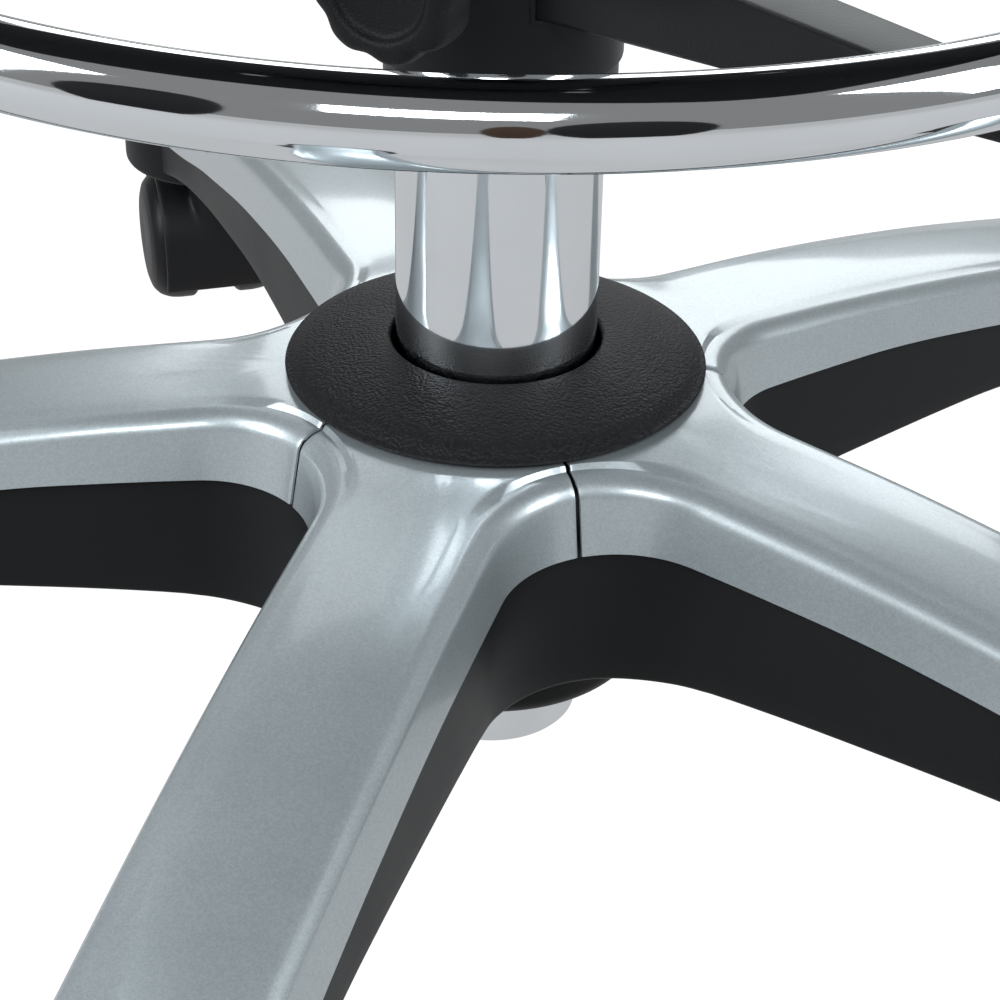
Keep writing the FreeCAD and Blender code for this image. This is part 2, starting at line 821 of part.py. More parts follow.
def ring_spokes():
    """Tapered bars that rise from the sleeve and pass under the ring, which is let into them."""
    spokes = []
    end_top = d.ring_height - d.ring_tube + 0.8
    for i in range(SPOKES):
        bar = doc.addObject("Part::Wedge", "spoke")
        start = d.sleeve_radius - 3
        sizes = {"Ymin": start, "Ymax": d.spoke_reach, "Xmin": -d.spoke_half, "Xmax": d.spoke_half,
                 "X2min": -d.spoke_end_half, "X2max": d.spoke_end_half, "Zmin": d.spoke_low,
                 "Zmax": d.spoke_low + d.spoke_height, "Z2min": end_top - d.spoke_end_height,
                 "Z2max": end_top}
        for prop, value in sizes.items():
            bind(bar, prop, value)
        put(bar, turn=about_z(FIRST_SPOKE + i * SPOKE_STEP - 90))
        ring = doc.addObject("Part::Torus", "saddle")
        bind(ring, "Radius1", d.ring_radius)
        bind(ring, "Radius2", d.ring_tube)
        put(ring, (0, 0, d.ring_height))
        sleeve = cylinder(d.sleeve_radius, d.ring_height * 2)
        spokes.append(cut_all(bar, [ring, sleeve]))
    node(group(spokes), "ring_spokes")


def lobed_knob(name, radius, length, collar):
    """A hand knob with scalloped edge and a short collar below it, along local +Z."""
    body = new_body(name)
    pad(body, add_circle(new_sketch(body, "XY_Plane"), 0, 0, radius), length)
    scallop = add_circle(new_sketch(body, "XY_Plane"), radius * 1.32, 0, radius * 0.4)
    groove = body.newObject("PartDesign::Pocket", "scallop")
    groove.Profile = scallop
    groove.Type = "ThroughAll"
    groove.Reversed = True
    pattern(body, [groove], KNOB_LOBES)
    neck = add_circle(new_sketch(body, "XY_Plane", -collar), 0, 0, radius * 0.5)
    pad(body, neck, collar)
    return body


def clamp_screw():
    """Pressure pad, threaded stud and hand knob that lock the foot ring on the column."""
    out_x, out_y = polar(Size(1), CLAMP_ANGLE)
    way = along((out_x.number, out_y.number, 0))

    def spot(radius):
        x, y = polar(size(radius), CLAMP_ANGLE)
        return (x, y, d.clamp_height)

    node(cylinder(d.pad_radius, d.pad_length, spot(d.pad_start), way), "pressure_pad")
    stud_start = d.pad_start + d.pad_length + 0.05
    node(cylinder(d.stud_radius, d.knob_start - stud_start + d.knob_length - 4,
                  spot(stud_start), way), "clamp_stud")
    knob = lobed_knob("clamp_grip", d.knob_radius, d.knob_length, size(2))
    bored = cut(put(knob, spot(d.knob_start), way),
                cylinder(d.stud_radius, d.knob_length - 4 + 5, spot(d.knob_start - 5), way))
    node(bored, "clamp_knob")


# ---- mechanism -------------------------------------------------------------------------------


def side_outline(inset):
    """Outline of the mechanism case from the side, with the front at zero."""
    deep = d.case_rear - d.case_front
    slope_start = d.case_slope_start - d.case_front
    return [(inset, d.case_floor + inset), (deep - inset, d.case_floor + inset),
            (deep - inset, d.case_rear_top), (slope_start, d.case_top), (inset, d.case_top)]


def mech_case():
    body = new_body("case")
    pad(body, add_polygon(new_sketch(body, "YZ_Plane"), side_outline(size(0))),
        d.case_half * 2, middle=True)
    inside = new_body("case_room")
    room = side_outline(d.case_wall)
    room[2] = (room[2][0], d.case_top + 20)
    room[3] = (room[3][0], d.case_top + 20)
    room[4] = (room[4][0], d.case_top + 20)
    pad(inside, add_polygon(new_sketch(inside, "YZ_Plane"), room),
        (d.case_half - d.case_wall) * 2, middle=True)
    for thing in (body, inside):
        put(thing, (0, d.case_front, 0))
    socket = cylinder(d.socket_radius, d.lift_top - d.case_floor + d.socket_drop,
                      (0, 0, d.case_floor - d.socket_drop))
    gap = d.running_gap
    cone_low = d.lift_top - d.lift_cone
    wide = d.lever_saddle
    tools = [
        cone(d.lift_radius + gap, cone_top_radius() + gap, d.lift_cone, (0, 0, cone_low)),
        cylinder(d.lift_radius + gap, 30, (0, 0, cone_low - 30)),
        cylinder(d.pivot_radius + gap, 200, (-100, d.pivot_y, d.pivot_z), along(X_AXIS)),
        cylinder(d.screw_radius + gap, 30, (0, d.spring_y, d.case_floor - 10)),
        cylinder(d.lever_radius + 1.2, 60, (20, 0, d.lever_height), along(X_AXIS)),
        cylinder(d.lever_pin + gap, wide * 2, (d.lever_pivot, -wide, d.lever_height),
                 along(Y_AXIS)),
    ]
    saddle = block(d.lever_pivot - 6.5, -wide, d.lever_height - 5.5,
                   d.lever_pivot + 6.5, wide, d.lever_height + 5.5)
    node(cut_all(fused([cut(body, inside), socket, saddle]), tools), "mech_case")


def bolt_places():
    """Where the top plate is bolted to the seat board: x, y."""
    x = d.plate_half - 14
    return [(x, d.plate_front + 15), (-x, d.plate_front + 15),
            (x, d.plate_rear - 15), (-x, d.plate_rear - 15)]


def bar_bolt_places():
    return [(d.bar_half - 12, d.plate_rear - 15), (12 - d.bar_half, d.plate_rear - 15)]


def bolt_holes(low, high):
    places = bolt_places() + bar_bolt_places()
    return [cylinder(d.bolt_radius, size(high) - low, (x, y, low)) for x, y in places]


def top_plate():
    """Plate under the seat with an ear on each side for the pivot rod."""
    plate = block(-d.plate_half, d.plate_front, d.plate_low,
                  d.plate_half, d.plate_rear, d.plate_low + d.plate_thick)
    pieces = [plate]
    ear_in = d.case_half + 0.5
    ear_out = ear_in + 3
    for sign in (-1, 1):
        low_x = ear_in if sign > 0 else -ear_out
        pieces.append(block(low_x, d.pivot_y - d.ear_half, d.pivot_z,
                            low_x + 3, d.pivot_y + d.ear_half, d.plate_low + 1))
        pieces.append(cylinder(d.ear_half, 3, (low_x, d.pivot_y, d.pivot_z), along(X_AXIS)))
    pin = cylinder(d.pivot_radius, 200, (-100, d.pivot_y, d.pivot_z), along(X_AXIS))
    holes = bolt_holes(d.plate_low - 5, d.plate_low + 10)
    node(cut_all(fused(pieces), [pin] + holes), "mech_top_plate")
    rod = cylinder(d.pivot_radius, (ear_out + 3) * 2, (-ear_out - 3, d.pivot_y, d.pivot_z),
                   along(X_AXIS))
    node(rod, "pivot_rod")


def tilt_spring():
    """Coil spring between the spring cup and the top plate."""
    low = cup_low() + d.cup_height + d.spring_wire + 0.3
    high = d.plate_low - d.spring_wire - 0.3
    body = new_body("coil")
    wire = add_circle(new_sketch(body, "XZ_Plane"), d.spring_radius, low, d.spring_wire)
    coil = body.newObject("PartDesign::AdditiveHelix", "coil")
    coil.Profile = wire
    coil.ReferenceAxis = (wire, ["V_Axis"])
    coil.Mode = "height-turns-angle"
    bind(coil, "Height", high - low)
    bind(coil, "Turns", d.spring_turns)
    node(put(body, (0, d.spring_y, 0)), "tilt_spring")


def cup_low():
    return d.case_floor + d.case_wall + 2


def tension_parts():
    low = cup_low()
    cup = turned("cup", [
        (d.screw_radius + d.running_gap, low), (d.cup_radius, low),
        (d.cup_radius, low + d.cup_height), (d.screw_radius + d.running_gap, low + d.cup_height),
    ])
    node(put(cup, (0, d.spring_y, 0)), "spring_cup")
    knob = lobed_knob("tension_grip", d.tension_radius, d.tension_height, size(2))
    put(knob, (0, d.spring_y, d.tension_low))
    neck_top = d.case_floor - 0.5
    neck_low = d.tension_low + d.tension_height
    neck = cylinder(d.tension_radius * 0.6, neck_top - neck_low, (0, d.spring_y, neck_low))
    screw = cylinder(d.screw_radius, d.screw_top - d.tension_low - 5,
                     (0, d.spring_y, d.tension_low + 5))
    node(fused([knob, neck, screw]), "tension_knob")


def height_lever():
    """A rod that rocks on a cross pin in the case's saddle, with a flat handle on its end."""
    centre = d.lever_height
    rod = cylinder(d.lever_radius, d.lever_end + 1, (-1, 0, centre), along(X_AXIS))
    pin_half = d.lever_saddle - 0.5
    pin = cylinder(d.lever_pin, pin_half * 2, (d.lever_pivot, -pin_half, centre), along(Y_AXIS))
    node(fused([rod, pin]), "height_lever")
    body = new_body("grip")
    long, half = d.grip_length, d.grip_half
    outline = [(0, -6), (12, -7), (24, -half), (long - 6, -half), (long, 5 - half),
               (long, half - 5), (long - 6, half), (24, half), (12, 7), (0, 6)]
    pad(body, add_polygon(new_sketch(body, "XY_Plane"), outline), d.grip_thick)
    put(body, (d.grip_start, 0, centre - d.grip_thick / 2))
    rod = cylinder(d.lever_radius, d.lever_end + 1, (-1, 0, centre), along(X_AXIS))
    node(cut(body, rod), "lever_handle")


# ---- seat ------------------------------------------------------------------------------------


def rounded_slab(name, half, front, depth, low, thick, corner, edge=None):
    """A slab with rounded corners, and a rounded upper edge where one is asked for."""
    body = new_body(name)
    pad(body, add_polygon(new_sketch(body, "XY_Plane"), rectangle(-half, 0, half, depth)), thick)
    round_edges(body, is_upright, corner)
    if edge is not None:
        top = size(thick).number
        round_edges(body, lambda e: e.BoundBox.ZMin > top - 0.01, edge)
    return put(body, (0, front, low))


def seat_levels():
    """Heights of the shell's floor, the board and the cushion."""
    shell = d.plate_low + d.plate_thick
    board = shell + d.shell_thick
    return shell, board, board + d.board_thick + 0.5


def seat():
    shell_low, board_low, cushion_low = seat_levels()
    board_front = d.board_front
    rim = d.shell_thick + 0.5
    corner = d.seat_corner - 8
    tools = bolt_holes(shell_low - 1, board_low + d.board_thick + 1) + arm_mount_holes(shell_low)
    board = rounded_slab("board", d.board_half, board_front, d.board_depth, board_low,
                         d.board_thick, corner)
    node(cut_all(board, tools), "seat_board")
    tray = rounded_slab("tray", d.board_half + rim, board_front - rim, d.board_depth + rim * 2,
                        shell_low, d.board_thick + d.shell_thick - 0.5, corner + rim)
    room = rounded_slab("tray_room", d.board_half + 0.5, board_front - 0.5, d.board_depth + 1,
                        board_low, d.board_thick + 5, corner + 0.5)
    tools = bolt_holes(shell_low - 1, board_low + 1) + arm_mount_holes(shell_low)
    node(cut_all(cut(tray, room), tools), "seat_shell")
    node(rounded_slab("foam", d.seat_half, d.seat_front, d.seat_depth, cushion_low, d.seat_thick,
                      d.seat_corner, d.seat_round), "seat_cushion")
    bolts = []
    for x, y in bolt_places():
        bolts.append(bolt((x, y, d.plate_low - d.bolt_head_height), board_low + d.board_thick))
    for x, y in bar_bolt_places():
        bolts.append(bolt((x, y, d.plate_low - d.bar_thick - d.bolt_head_height),
                          board_low + d.board_thick))
    node(group(bolts), "seat_bolts")


def arm_mount_holes(shell_low):
    """Holes for an armrest's two screws on each side."""
    holes = []
    for x in (d.arm_mount_x, -d.arm_mount_x):
        for y in (d.arm_mount_spacing / 2, -d.arm_mount_spacing / 2):
            holes.append(cylinder(d.arm_mount_radius, 30, (x, y, shell_low - 1)))
    return holes


def bolt(foot, top):
    """A bolt from below, with its head at the foot."""
    x, y, low = foot
    length = size(top) - low
    head = cylinder(d.bolt_head, d.bolt_head_height, (x, y, low))
    return fused([head, cylinder(d.bolt_radius, length, (x, y, low))])


# ---- back ------------------------------------------------------------------------------------


def back_bar():
    """Flat steel bar that runs under the seat and turns up behind it."""
    body = new_body("bar")
    low = d.plate_low - d.bar_thick
    outline = [(d.bar_start, low), (d.bar_back, low), (d.bar_back, d.bar_top),
               (d.bar_back - d.bar_thick, d.bar_top), (d.bar_back - d.bar_thick, d.plate_low),
               (d.bar_start, d.plate_low)]
    pad(body, add_polygon(new_sketch(body, "YZ_Plane"), outline), d.bar_half * 2, middle=True)

    def is_bend(edge, y, z):
        middle = edge.CenterOfMass
        return abs(middle.y - y) < 0.1 and abs(middle.z - z) < 0.1 and edge.BoundBox.XLength > 1

    inner_y, inner_z = (d.bar_back - d.bar_thick).number, d.plate_low.number
    outer_y, outer_z = d.bar_back.number, low.number
    round_edges(body, lambda e: is_bend(e, outer_y, outer_z), d.bar_bend)
    round_edges(body, lambda e: is_bend(e, inner_y, inner_z), d.bar_bend - d.bar_thick)
    holes = [cylinder(d.bolt_radius, 40, (x, y, low - 5)) for x, y in bar_bolt_places()]
    node(cut_all(body, holes), "back_bar")


def back_slab(name, rear, half, thick, corner, edge=None):
    """An upright slab with rounded corners, whose thickness runs forward from its rear."""
    body = rounded_slab(name, half, 0, d.back_height, 0, thick, corner, edge)
    return put(body, (0, rear, d.back_low), FreeCAD.Rotation(V(1, 0, 0), 90))


def back():
    panel_rear = d.back_panel_y + d.back_panel_thick
    panel = back_slab("panel", panel_rear, d.back_half - 6, d.back_panel_thick,
                      d.back_corner - 6)
    guide = block(-d.guide_half, panel_rear - 1, d.guide_low,
                  d.guide_half, d.guide_rear, d.guide_low + d.guide_height)
    gap = d.clear_gap
    slot = block(-d.bar_half - gap, d.bar_back - d.bar_thick - gap, d.guide_low - 10,
                 d.bar_half + gap, d.bar_back + gap, d.guide_low + d.guide_height + 10)
    lighten = block(-d.bar_half, panel_rear + 5, d.guide_low - 10,
                    d.bar_half, d.bar_back - d.bar_thick - 5, d.guide_low + d.guide_height + 10)
    knob_z = d.guide_low + d.guide_height / 2
    stud_hole = cylinder(d.stud_radius + d.running_gap, 40, (0, d.bar_back, knob_z), along(Y_AXIS))
    screws = back_bolt_places()
    holes = [cylinder(d.bolt_radius, 30, (x, panel_rear - 20, z), along(Y_AXIS)) for x, z in screws]
    node(cut_all(fused([panel, guide]), [slot, lighten, stud_hole] + holes), "back_shell")
    node(back_slab("back_foam", d.back_panel_y - d.clear_gap, d.back_half, d.back_thick,
                   d.back_corner, d.back_round), "back_cushion")
    bolts = []
    for x, z in screws:
        head = cylinder(d.bolt_head, d.bolt_head_height, (x, panel_rear, z), along(Y_AXIS))
        shank = cylinder(d.bolt_radius, d.back_panel_thick, (x, d.back_panel_y, z), along(Y_AXIS))
        bolts.append(fused([head, shank]))
    node(group(bolts), "back_bolts")
    knob = lobed_knob("back_grip", d.back_knob_radius, d.back_knob_length, size(4))
    put(knob, (0, d.back_knob_y, knob_z), along(Y_AXIS))
    stud_start = d.bar_back + gap + 0.1
    stud = cylinder(d.stud_radius, d.back_knob_y + 10 - stud_start, (0, stud_start, knob_z),
                    along(Y_AXIS))
    node(fused([knob, stud]), "back_knob")


def back_bolt_places():
    x = d.back_half * 0.57
    return [(sign * x, d.back_low + share * d.back_height)
            for sign in (-1, 1) for share in (0.17, 0.8)]


# ---- build, check and write ------------------------------------------------------------------


def build():
    base_frame()
    arm_covers()
    hub_collar()
    caster_stems()
    casters()
    gas_lift()
    foot_ring()
    mech_case()
    top_plate()
    tilt_spring()
    tension_parts()
    height_lever()
    seat()
    back_bar()
    back()


def check():
    """Stop if any object failed or any sub-part's shape is missing or invalid."""
    doc.recompute()
    for thing in doc.Objects:
        if "Invalid" in thing.State or "Error" in thing.State:
            raise RuntimeError(f"{thing.Name} ({thing.Label}) failed: {thing.State}")
    for thing in nodes:
        shape = thing.Shape
        if shape.isNull() or not shape.isValid() or not shape.Solids or shape.Volume <= 0:
            raise RuntimeError(f"{thing.Label} has no valid solid")


def write():
    os.makedirs("parts", exist_ok=True)
    for thing in nodes:
        thing.Shape.exportStep(f"parts/{thing.Label}.step")


build()
check()
write()
print(f"{len(nodes)} sub-parts written")
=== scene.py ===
import json
import math

import bmesh
import bpy
from bpy.props import FloatProperty, FloatVectorProperty, IntProperty, PointerProperty
from mathutils import Matrix, Vector
from mathutils.bvhtree import BVHTree


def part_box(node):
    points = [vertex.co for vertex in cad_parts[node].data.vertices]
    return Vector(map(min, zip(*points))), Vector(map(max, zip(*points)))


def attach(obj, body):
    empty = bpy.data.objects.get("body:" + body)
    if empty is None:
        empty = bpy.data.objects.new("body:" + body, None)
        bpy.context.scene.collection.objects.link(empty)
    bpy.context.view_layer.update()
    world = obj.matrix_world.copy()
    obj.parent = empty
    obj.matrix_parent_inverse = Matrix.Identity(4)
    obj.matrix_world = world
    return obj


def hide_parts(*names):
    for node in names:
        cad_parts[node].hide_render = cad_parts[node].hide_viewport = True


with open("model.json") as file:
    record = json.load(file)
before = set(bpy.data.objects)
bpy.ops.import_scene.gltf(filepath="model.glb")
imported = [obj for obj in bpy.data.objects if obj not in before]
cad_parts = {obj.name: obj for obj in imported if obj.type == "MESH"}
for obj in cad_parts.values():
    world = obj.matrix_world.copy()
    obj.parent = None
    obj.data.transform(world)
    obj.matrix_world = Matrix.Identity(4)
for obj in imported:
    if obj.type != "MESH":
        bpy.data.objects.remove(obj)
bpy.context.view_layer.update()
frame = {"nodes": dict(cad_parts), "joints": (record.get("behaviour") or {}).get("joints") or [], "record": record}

bl_info = {
    "name": "Drafting Chair",
    "version": (1, 0, 0),
    "blender": (4, 5, 0),
    "location": "View3D > Sidebar > Drafting Chair",
    "description": "Finished pieces of a drafting chair around its frame",
    "category": "Object",
}

MM = 0.001
ARMS = 5
ARM_STEP = math.radians(72)
FIRST_ARM = math.radians(54)
HALF_STEP = ARM_STEP / 2


# ---- sizes and colours ---------------------------------------------------------------------------

def length(name, words, value):
    """A length that a user would change, in metres."""
    return FloatProperty(name=name, description=words, default=value, unit="LENGTH", min=0.0)


def colour(name, words, value):
    """A colour that a user would change."""
    return FloatVectorProperty(name=name, description=words, default=value, subtype="COLOR",
                               size=3, min=0.0, max=1.0)


class ChairSizes(bpy.types.PropertyGroup):
    """Sizes of the finished pieces."""
    cover_half: length("Cover half width", "Half the width of an arm's cover", 0.0243)
    cover_web: length("Cover web", "Radius between two arms' covers", 0.029)
    cover_tip: length("Cover tip", "Radius of a cover's outer end", 0.0275)
    cover_wall: length("Cover wall", "Thickness of a cover", 0.0024)
    ridge_round: length("Ridge rounding", "Radius of the rounded ridge along a cover", 0.0052)
    seam_gap: length("Seam gap", "Gap between two covers", 0.0009)
    crown: length("Crown", "Rise of a cover's top between its ridges", 0.0011)
    frame_half: length("Frame half width", "Half the width of an arm of the frame", 0.0214)
    frame_web: length("Frame web", "Radius between two arms of the frame", 0.0319)
    frame_wall: length("Frame wall", "Thickness of the frame's walls", 0.0032)
    stitch_gap: length("Stitch spacing", "Distance between two stitches", 0.0065)
    welt_radius: length("Welt radius", "Radius of the cushions' welt", 0.0024)
    voxel: length("Remesh size", "Cell size of the cushions before they are filled", 0.006)
    cushion_cap: length("Cushion cap", "The most that the filling moves the cloth", 0.012)
    knob_lobes: IntProperty(name="Knob lobes", description="Lobes round a hand knob", default=8,
                            min=3)


class ChairColours(bpy.types.PropertyGroup):
    """Colours of the finishes."""
    paint: colour("Paint", "Metallic paint of the covers", (0.455, 0.505, 0.53))
    nylon: colour("Frame nylon", "Black nylon of the frame", (0.0075, 0.008, 0.009))
    collar: colour("Collar", "Grained plastic of the hub's collar", (0.008, 0.008, 0.009))
    chrome: colour("Chrome", "Bright chrome of the column and ring", (0.83, 0.86, 0.885))
    caster: colour("Caster", "Nylon of the casters' hoods", (0.011, 0.011, 0.012))
    wheel: colour("Wheel", "Nylon of the casters' wheels", (0.009, 0.009, 0.010))
    steel: colour("Black steel", "Powder coat of the steel parts", (0.007, 0.0075, 0.0085))
    knob: colour("Knob", "Plastic of the hand knobs", (0.008, 0.008, 0.009))
    shell: colour("Shell", "Plastic of the seat's and back's shells", (0.015, 0.015, 0.017))
    fabric: colour("Fabric", "Woven cloth of the cushions", (0.017, 0.017, 0.019))
    floor: colour("Floor", "The studio's floor", (0.10, 0.103, 0.11))


# ---- node groups ---------------------------------------------------------------------------------

class Tree:
    """A node tree with short calls to add and join its nodes."""

    def __init__(self, tree):
        self.tree = tree
        self.column = 0

    def add(self, kind, **settings):
        """Add a node. Keys that start with in_ set its inputs by name."""
        node = self.tree.nodes.new(kind)
        self.column += 1
        node.location = (self.column * 180, 0)
        for key, value in settings.items():
            if key.startswith("in_"):
                node.inputs[key[3:].replace("_", " ")].default_value = value
            else:
                setattr(node, key, value)
        return node

    def join(self, out_socket, in_socket):
        self.tree.links.new(out_socket, in_socket)

    def maths(self, operation, first, second=None, third=None):
        """A Math node on sockets or numbers."""
        node = self.add("ShaderNodeMath", operation=operation)
        for index, value in enumerate((first, second, third)):
            if value is None:
                continue
            if isinstance(value, (int, float)):
                node.inputs[index].default_value = value
            else:
                self.join(value, node.inputs[index])
        return node.outputs[0]

    def spread(self, value, low, high):
        """Spread a 0 to 1 value between two numbers."""
        node = self.add("ShaderNodeMapRange", in_To_Min=low, in_To_Max=high)
        self.join(value, node.inputs["Value"])
        return node.outputs[0]

    def noise(self, place, scale, detail=3.0, rough=0.55):
        node = self.add("ShaderNodeTexNoise", in_Detail=detail, in_Roughness=rough)
        self.join(place, node.inputs["Vector"])
        if isinstance(scale, (int, float)):
            node.inputs["Scale"].default_value = scale
        else:
            self.join(scale, node.inputs["Scale"])
        return node.outputs["Fac"]


def shader_group(name, inputs, outputs):
    """A new shader node group with its sockets, and its input and output nodes."""
    group = bpy.data.node_groups.new(name, "ShaderNodeTree")
    for socket, (kind, value) in inputs.items():
        made = group.interface.new_socket(name=socket, in_out="INPUT", socket_type=kind)
        if value is not None:
            made.default_value = value
    for socket, kind in outputs.items():
        group.interface.new_socket(name=socket, in_out="OUTPUT", socket_type=kind)
    tree = Tree(group)
    return group, tree, tree.add("NodeGroupInput"), tree.add("NodeGroupOutput")


FLOAT = "NodeSocketFloat"
VECTOR = "NodeSocketVector"
COLOUR = "NodeSocketColor"


def grain_group():
    """Fine moulded or sprayed grain: an even height and a slow cloudiness."""
    group, tree, start, end = shader_group(
        "grain", {"Place": (VECTOR, None), "Scale": (FLOAT, 2500.0), "Cloud": (FLOAT, 30.0)},
        {"Height": FLOAT, "Clouds": FLOAT})
    fine = tree.noise(start.outputs["Place"], start.outputs["Scale"], 2.0)
    slow = tree.noise(start.outputs["Place"], start.outputs["Cloud"], 3.0)
    tree.join(fine, end.inputs["Height"])
    tree.join(slow, end.inputs["Clouds"])
    return group


def leather_group():
    """Pebbled grain with fine creases between the pebbles."""
    group, tree, start, end = shader_group(
        "leather", {"Place": (VECTOR, None), "Scale": (FLOAT, 900.0)}, {"Height": FLOAT})
    place = start.outputs["Place"]
    bend = tree.noise(place, 300.0, 2.0)
    moved = tree.add("ShaderNodeVectorMath", operation="ADD")
    tree.join(place, moved.inputs[0])
    shift = tree.add("ShaderNodeCombineXYZ")
    small = tree.maths("MULTIPLY", bend, 0.0011)
    for axis in range(3):
        tree.join(small, shift.inputs[axis])
    tree.join(shift.outputs[0], moved.inputs[1])
    cells = tree.add("ShaderNodeTexVoronoi", feature="SMOOTH_F1", in_Smoothness=0.35)
    tree.join(moved.outputs[0], cells.inputs["Vector"])
    tree.join(start.outputs["Scale"], cells.inputs["Scale"])
    pebble = tree.maths("SUBTRACT", 1.0, cells.outputs["Distance"])
    fine = tree.noise(place, 4200.0, 2.0)
    tree.join(tree.maths("MULTIPLY_ADD", fine, 0.35, pebble), end.inputs["Height"])
    return group


def flake_group():
    """Metallic paint: flakes that catch the light, an uneven lay and a faint orange peel."""
    group, tree, start, end = shader_group(
        "flakes", {"Place": (VECTOR, None), "Scale": (FLOAT, 2600.0), "Colour": (COLOUR, None)},
        {"Colour": COLOUR, "Peel": FLOAT, "Dull": FLOAT})
    place = start.outputs["Place"]
    cells = tree.add("ShaderNodeTexVoronoi", feature="F1")
    tree.join(place, cells.inputs["Vector"])
    tree.join(start.outputs["Scale"], cells.inputs["Scale"])
    spread = tree.add("ShaderNodeSeparateColor")
    tree.join(cells.outputs["Color"], spread.inputs[0])
    clouds = tree.noise(place, 38.0, 4.0)
    bright = tree.maths("MULTIPLY_ADD", spread.outputs[0], 0.16, 0.92)
    lay = tree.maths("MULTIPLY_ADD", clouds, 0.14, 0.93)
    share = tree.maths("MULTIPLY", bright, lay)
    mixed = tree.add("ShaderNodeVectorMath", operation="SCALE")
    tree.join(start.outputs["Colour"], mixed.inputs[0])
    tree.join(share, mixed.inputs["Scale"])
    tree.join(mixed.outputs[0], end.inputs["Colour"])
    peel = tree.noise(place, 620.0, 2.0)
    tree.join(tree.maths("MULTIPLY_ADD", spread.outputs[1], 0.25, peel), end.inputs["Peel"])
    tree.join(clouds, end.inputs["Dull"])
    return group


def weave_group():
    """Plain weave on three axes: raised threads and the shade between them."""
    group, tree, start, end = shader_group(
        "weave", {"Place": (VECTOR, None), "Pitch": (FLOAT, 0.0011)},
        {"Height": FLOAT, "Shade": FLOAT})
    split = tree.add("ShaderNodeSeparateXYZ")
    tree.join(start.outputs["Place"], split.inputs[0])
    turns = tree.maths("DIVIDE", math.pi, start.outputs["Pitch"])
    waves = [tree.maths("SINE", tree.maths("MULTIPLY", split.outputs[axis], turns))
             for axis in range(3)]
    first = tree.maths("MULTIPLY", waves[0], waves[1])
    second = tree.maths("MULTIPLY", waves[1], waves[2])
    third = tree.maths("MULTIPLY", waves[2], waves[0])
    both = tree.maths("ADD", tree.maths("ADD", first, second), third)
    slub = tree.noise(start.outputs["Place"], 900.0, 2.0)
    height = tree.maths("MULTIPLY_ADD", both, 0.35, slub)
    tree.join(height, end.inputs["Height"])
    tree.join(tree.maths("MULTIPLY_ADD", both, 0.22, 0.85), end.inputs["Shade"])
    return group


GROUPS = {}


def group_of(name):
    """The shared node group of that name, built once."""
    makers = {"grain": grain_group, "leather": leather_group, "flakes": flake_group,
              "weave": weave_group}
    if name not in GROUPS:
        GROUPS[name] = makers[name]()
    return GROUPS[name]


# ---- materials -----------------------------------------------------------------------------------

def start_material(name, base, rough, metal=0.0, coat=0.0, coat_rough=0.1, specular=0.5):
    """A material with its shader's own sockets set, and its Object coordinates."""
    material = bpy.data.materials.new(name)
    material.use_nodes = True
    material.diffuse_color = (*base, 1.0)
    tree = Tree(material.node_tree)
    shader = material.node_tree.nodes["Principled BSDF"]
    shader.inputs["Base Color"].default_value = (*base, 1.0)
    shader.inputs["Roughness"].default_value = rough
    shader.inputs["Metallic"].default_value = metal
    shader.inputs["Coat Weight"].default_value = coat
    shader.inputs["Coat Roughness"].default_value = coat_rough
    shader.inputs["Specular IOR Level"].default_value = specular
    place = tree.add("ShaderNodeTexCoord").outputs["Object"]
    return material, tree, shader, place


def use_group(tree, name, place, **values):
    node = tree.add("ShaderNodeGroup", node_tree=group_of(name))
    tree.join(place, node.inputs["Place"])
    for key, value in values.items():
        node.inputs[key].default_value = value
    return node


def add_bump(tree, shader, height, strength, distance):
    bump = tree.add("ShaderNodeBump", in_Strength=strength, in_Distance=distance)
    tree.join(height, bump.inputs["Height"])
    tree.join(bump.outputs[0], shader.inputs["Normal"])


def vary(tree, value, low, high, target):
    """Spread a 0 to 1 value between two numbers and send it to a socket."""
    tree.join(tree.spread(value, low, high), target)


def shaded(tree, shader, base, value, low, high):
    """Vary the base colour's brightness with a 0 to 1 value."""
    scaled = tree.add("ShaderNodeVectorMath", operation="SCALE")
    scaled.inputs[0].default_value = base
    tree.join(tree.spread(value, low, high), scaled.inputs["Scale"])
    tree.join(scaled.outputs[0], shader.inputs["Base Color"])


def paint_finish(name, base):
    material, tree, shader, place = start_material(name, base, 0.36, 0.55, 0.9, 0.10)
    flakes = use_group(tree, "flakes", place, Colour=(*base, 1.0))
    tree.join(flakes.outputs["Colour"], shader.inputs["Base Color"])
    vary(tree, flakes.outputs["Dull"], 0.31, 0.41, shader.inputs["Roughness"])
    add_bump(tree, shader, flakes.outputs["Peel"], 0.10, 0.0003)
    return material


def moulded_finish(name, base, rough, scale, strength, distance=0.0002):
    """Moulded plastic or powder coat with an even grain and slightly uneven gloss."""
    material, tree, shader, place = start_material(name, base, rough, specular=0.2)
    grain = use_group(tree, "grain", place, Scale=scale)
    shaded(tree, shader, base, grain.outputs["Clouds"], 0.75, 1.3)
    vary(tree, grain.outputs["Clouds"], rough - 0.06, rough + 0.06, shader.inputs["Roughness"])
    add_bump(tree, shader, grain.outputs["Height"], strength, distance)
    return material


def leather_finish(name, base):
    material, tree, shader, place = start_material(name, base, 0.46, specular=0.22)
    leather = use_group(tree, "leather", place, Scale=1250.0)
    grain = use_group(tree, "grain", place, Cloud=60.0)
    # The base colour follows the grain's height: darker in the creases between the pebbles and lighter on their
    # tops, painted shade of the grain.
    shaded(tree, shader, base, leather.outputs["Height"], 0.6, 1.35)
    vary(tree, grain.outputs["Clouds"], 0.40, 0.54, shader.inputs["Roughness"])
    add_bump(tree, shader, leather.outputs["Height"], 0.7, 0.0004)
    return material


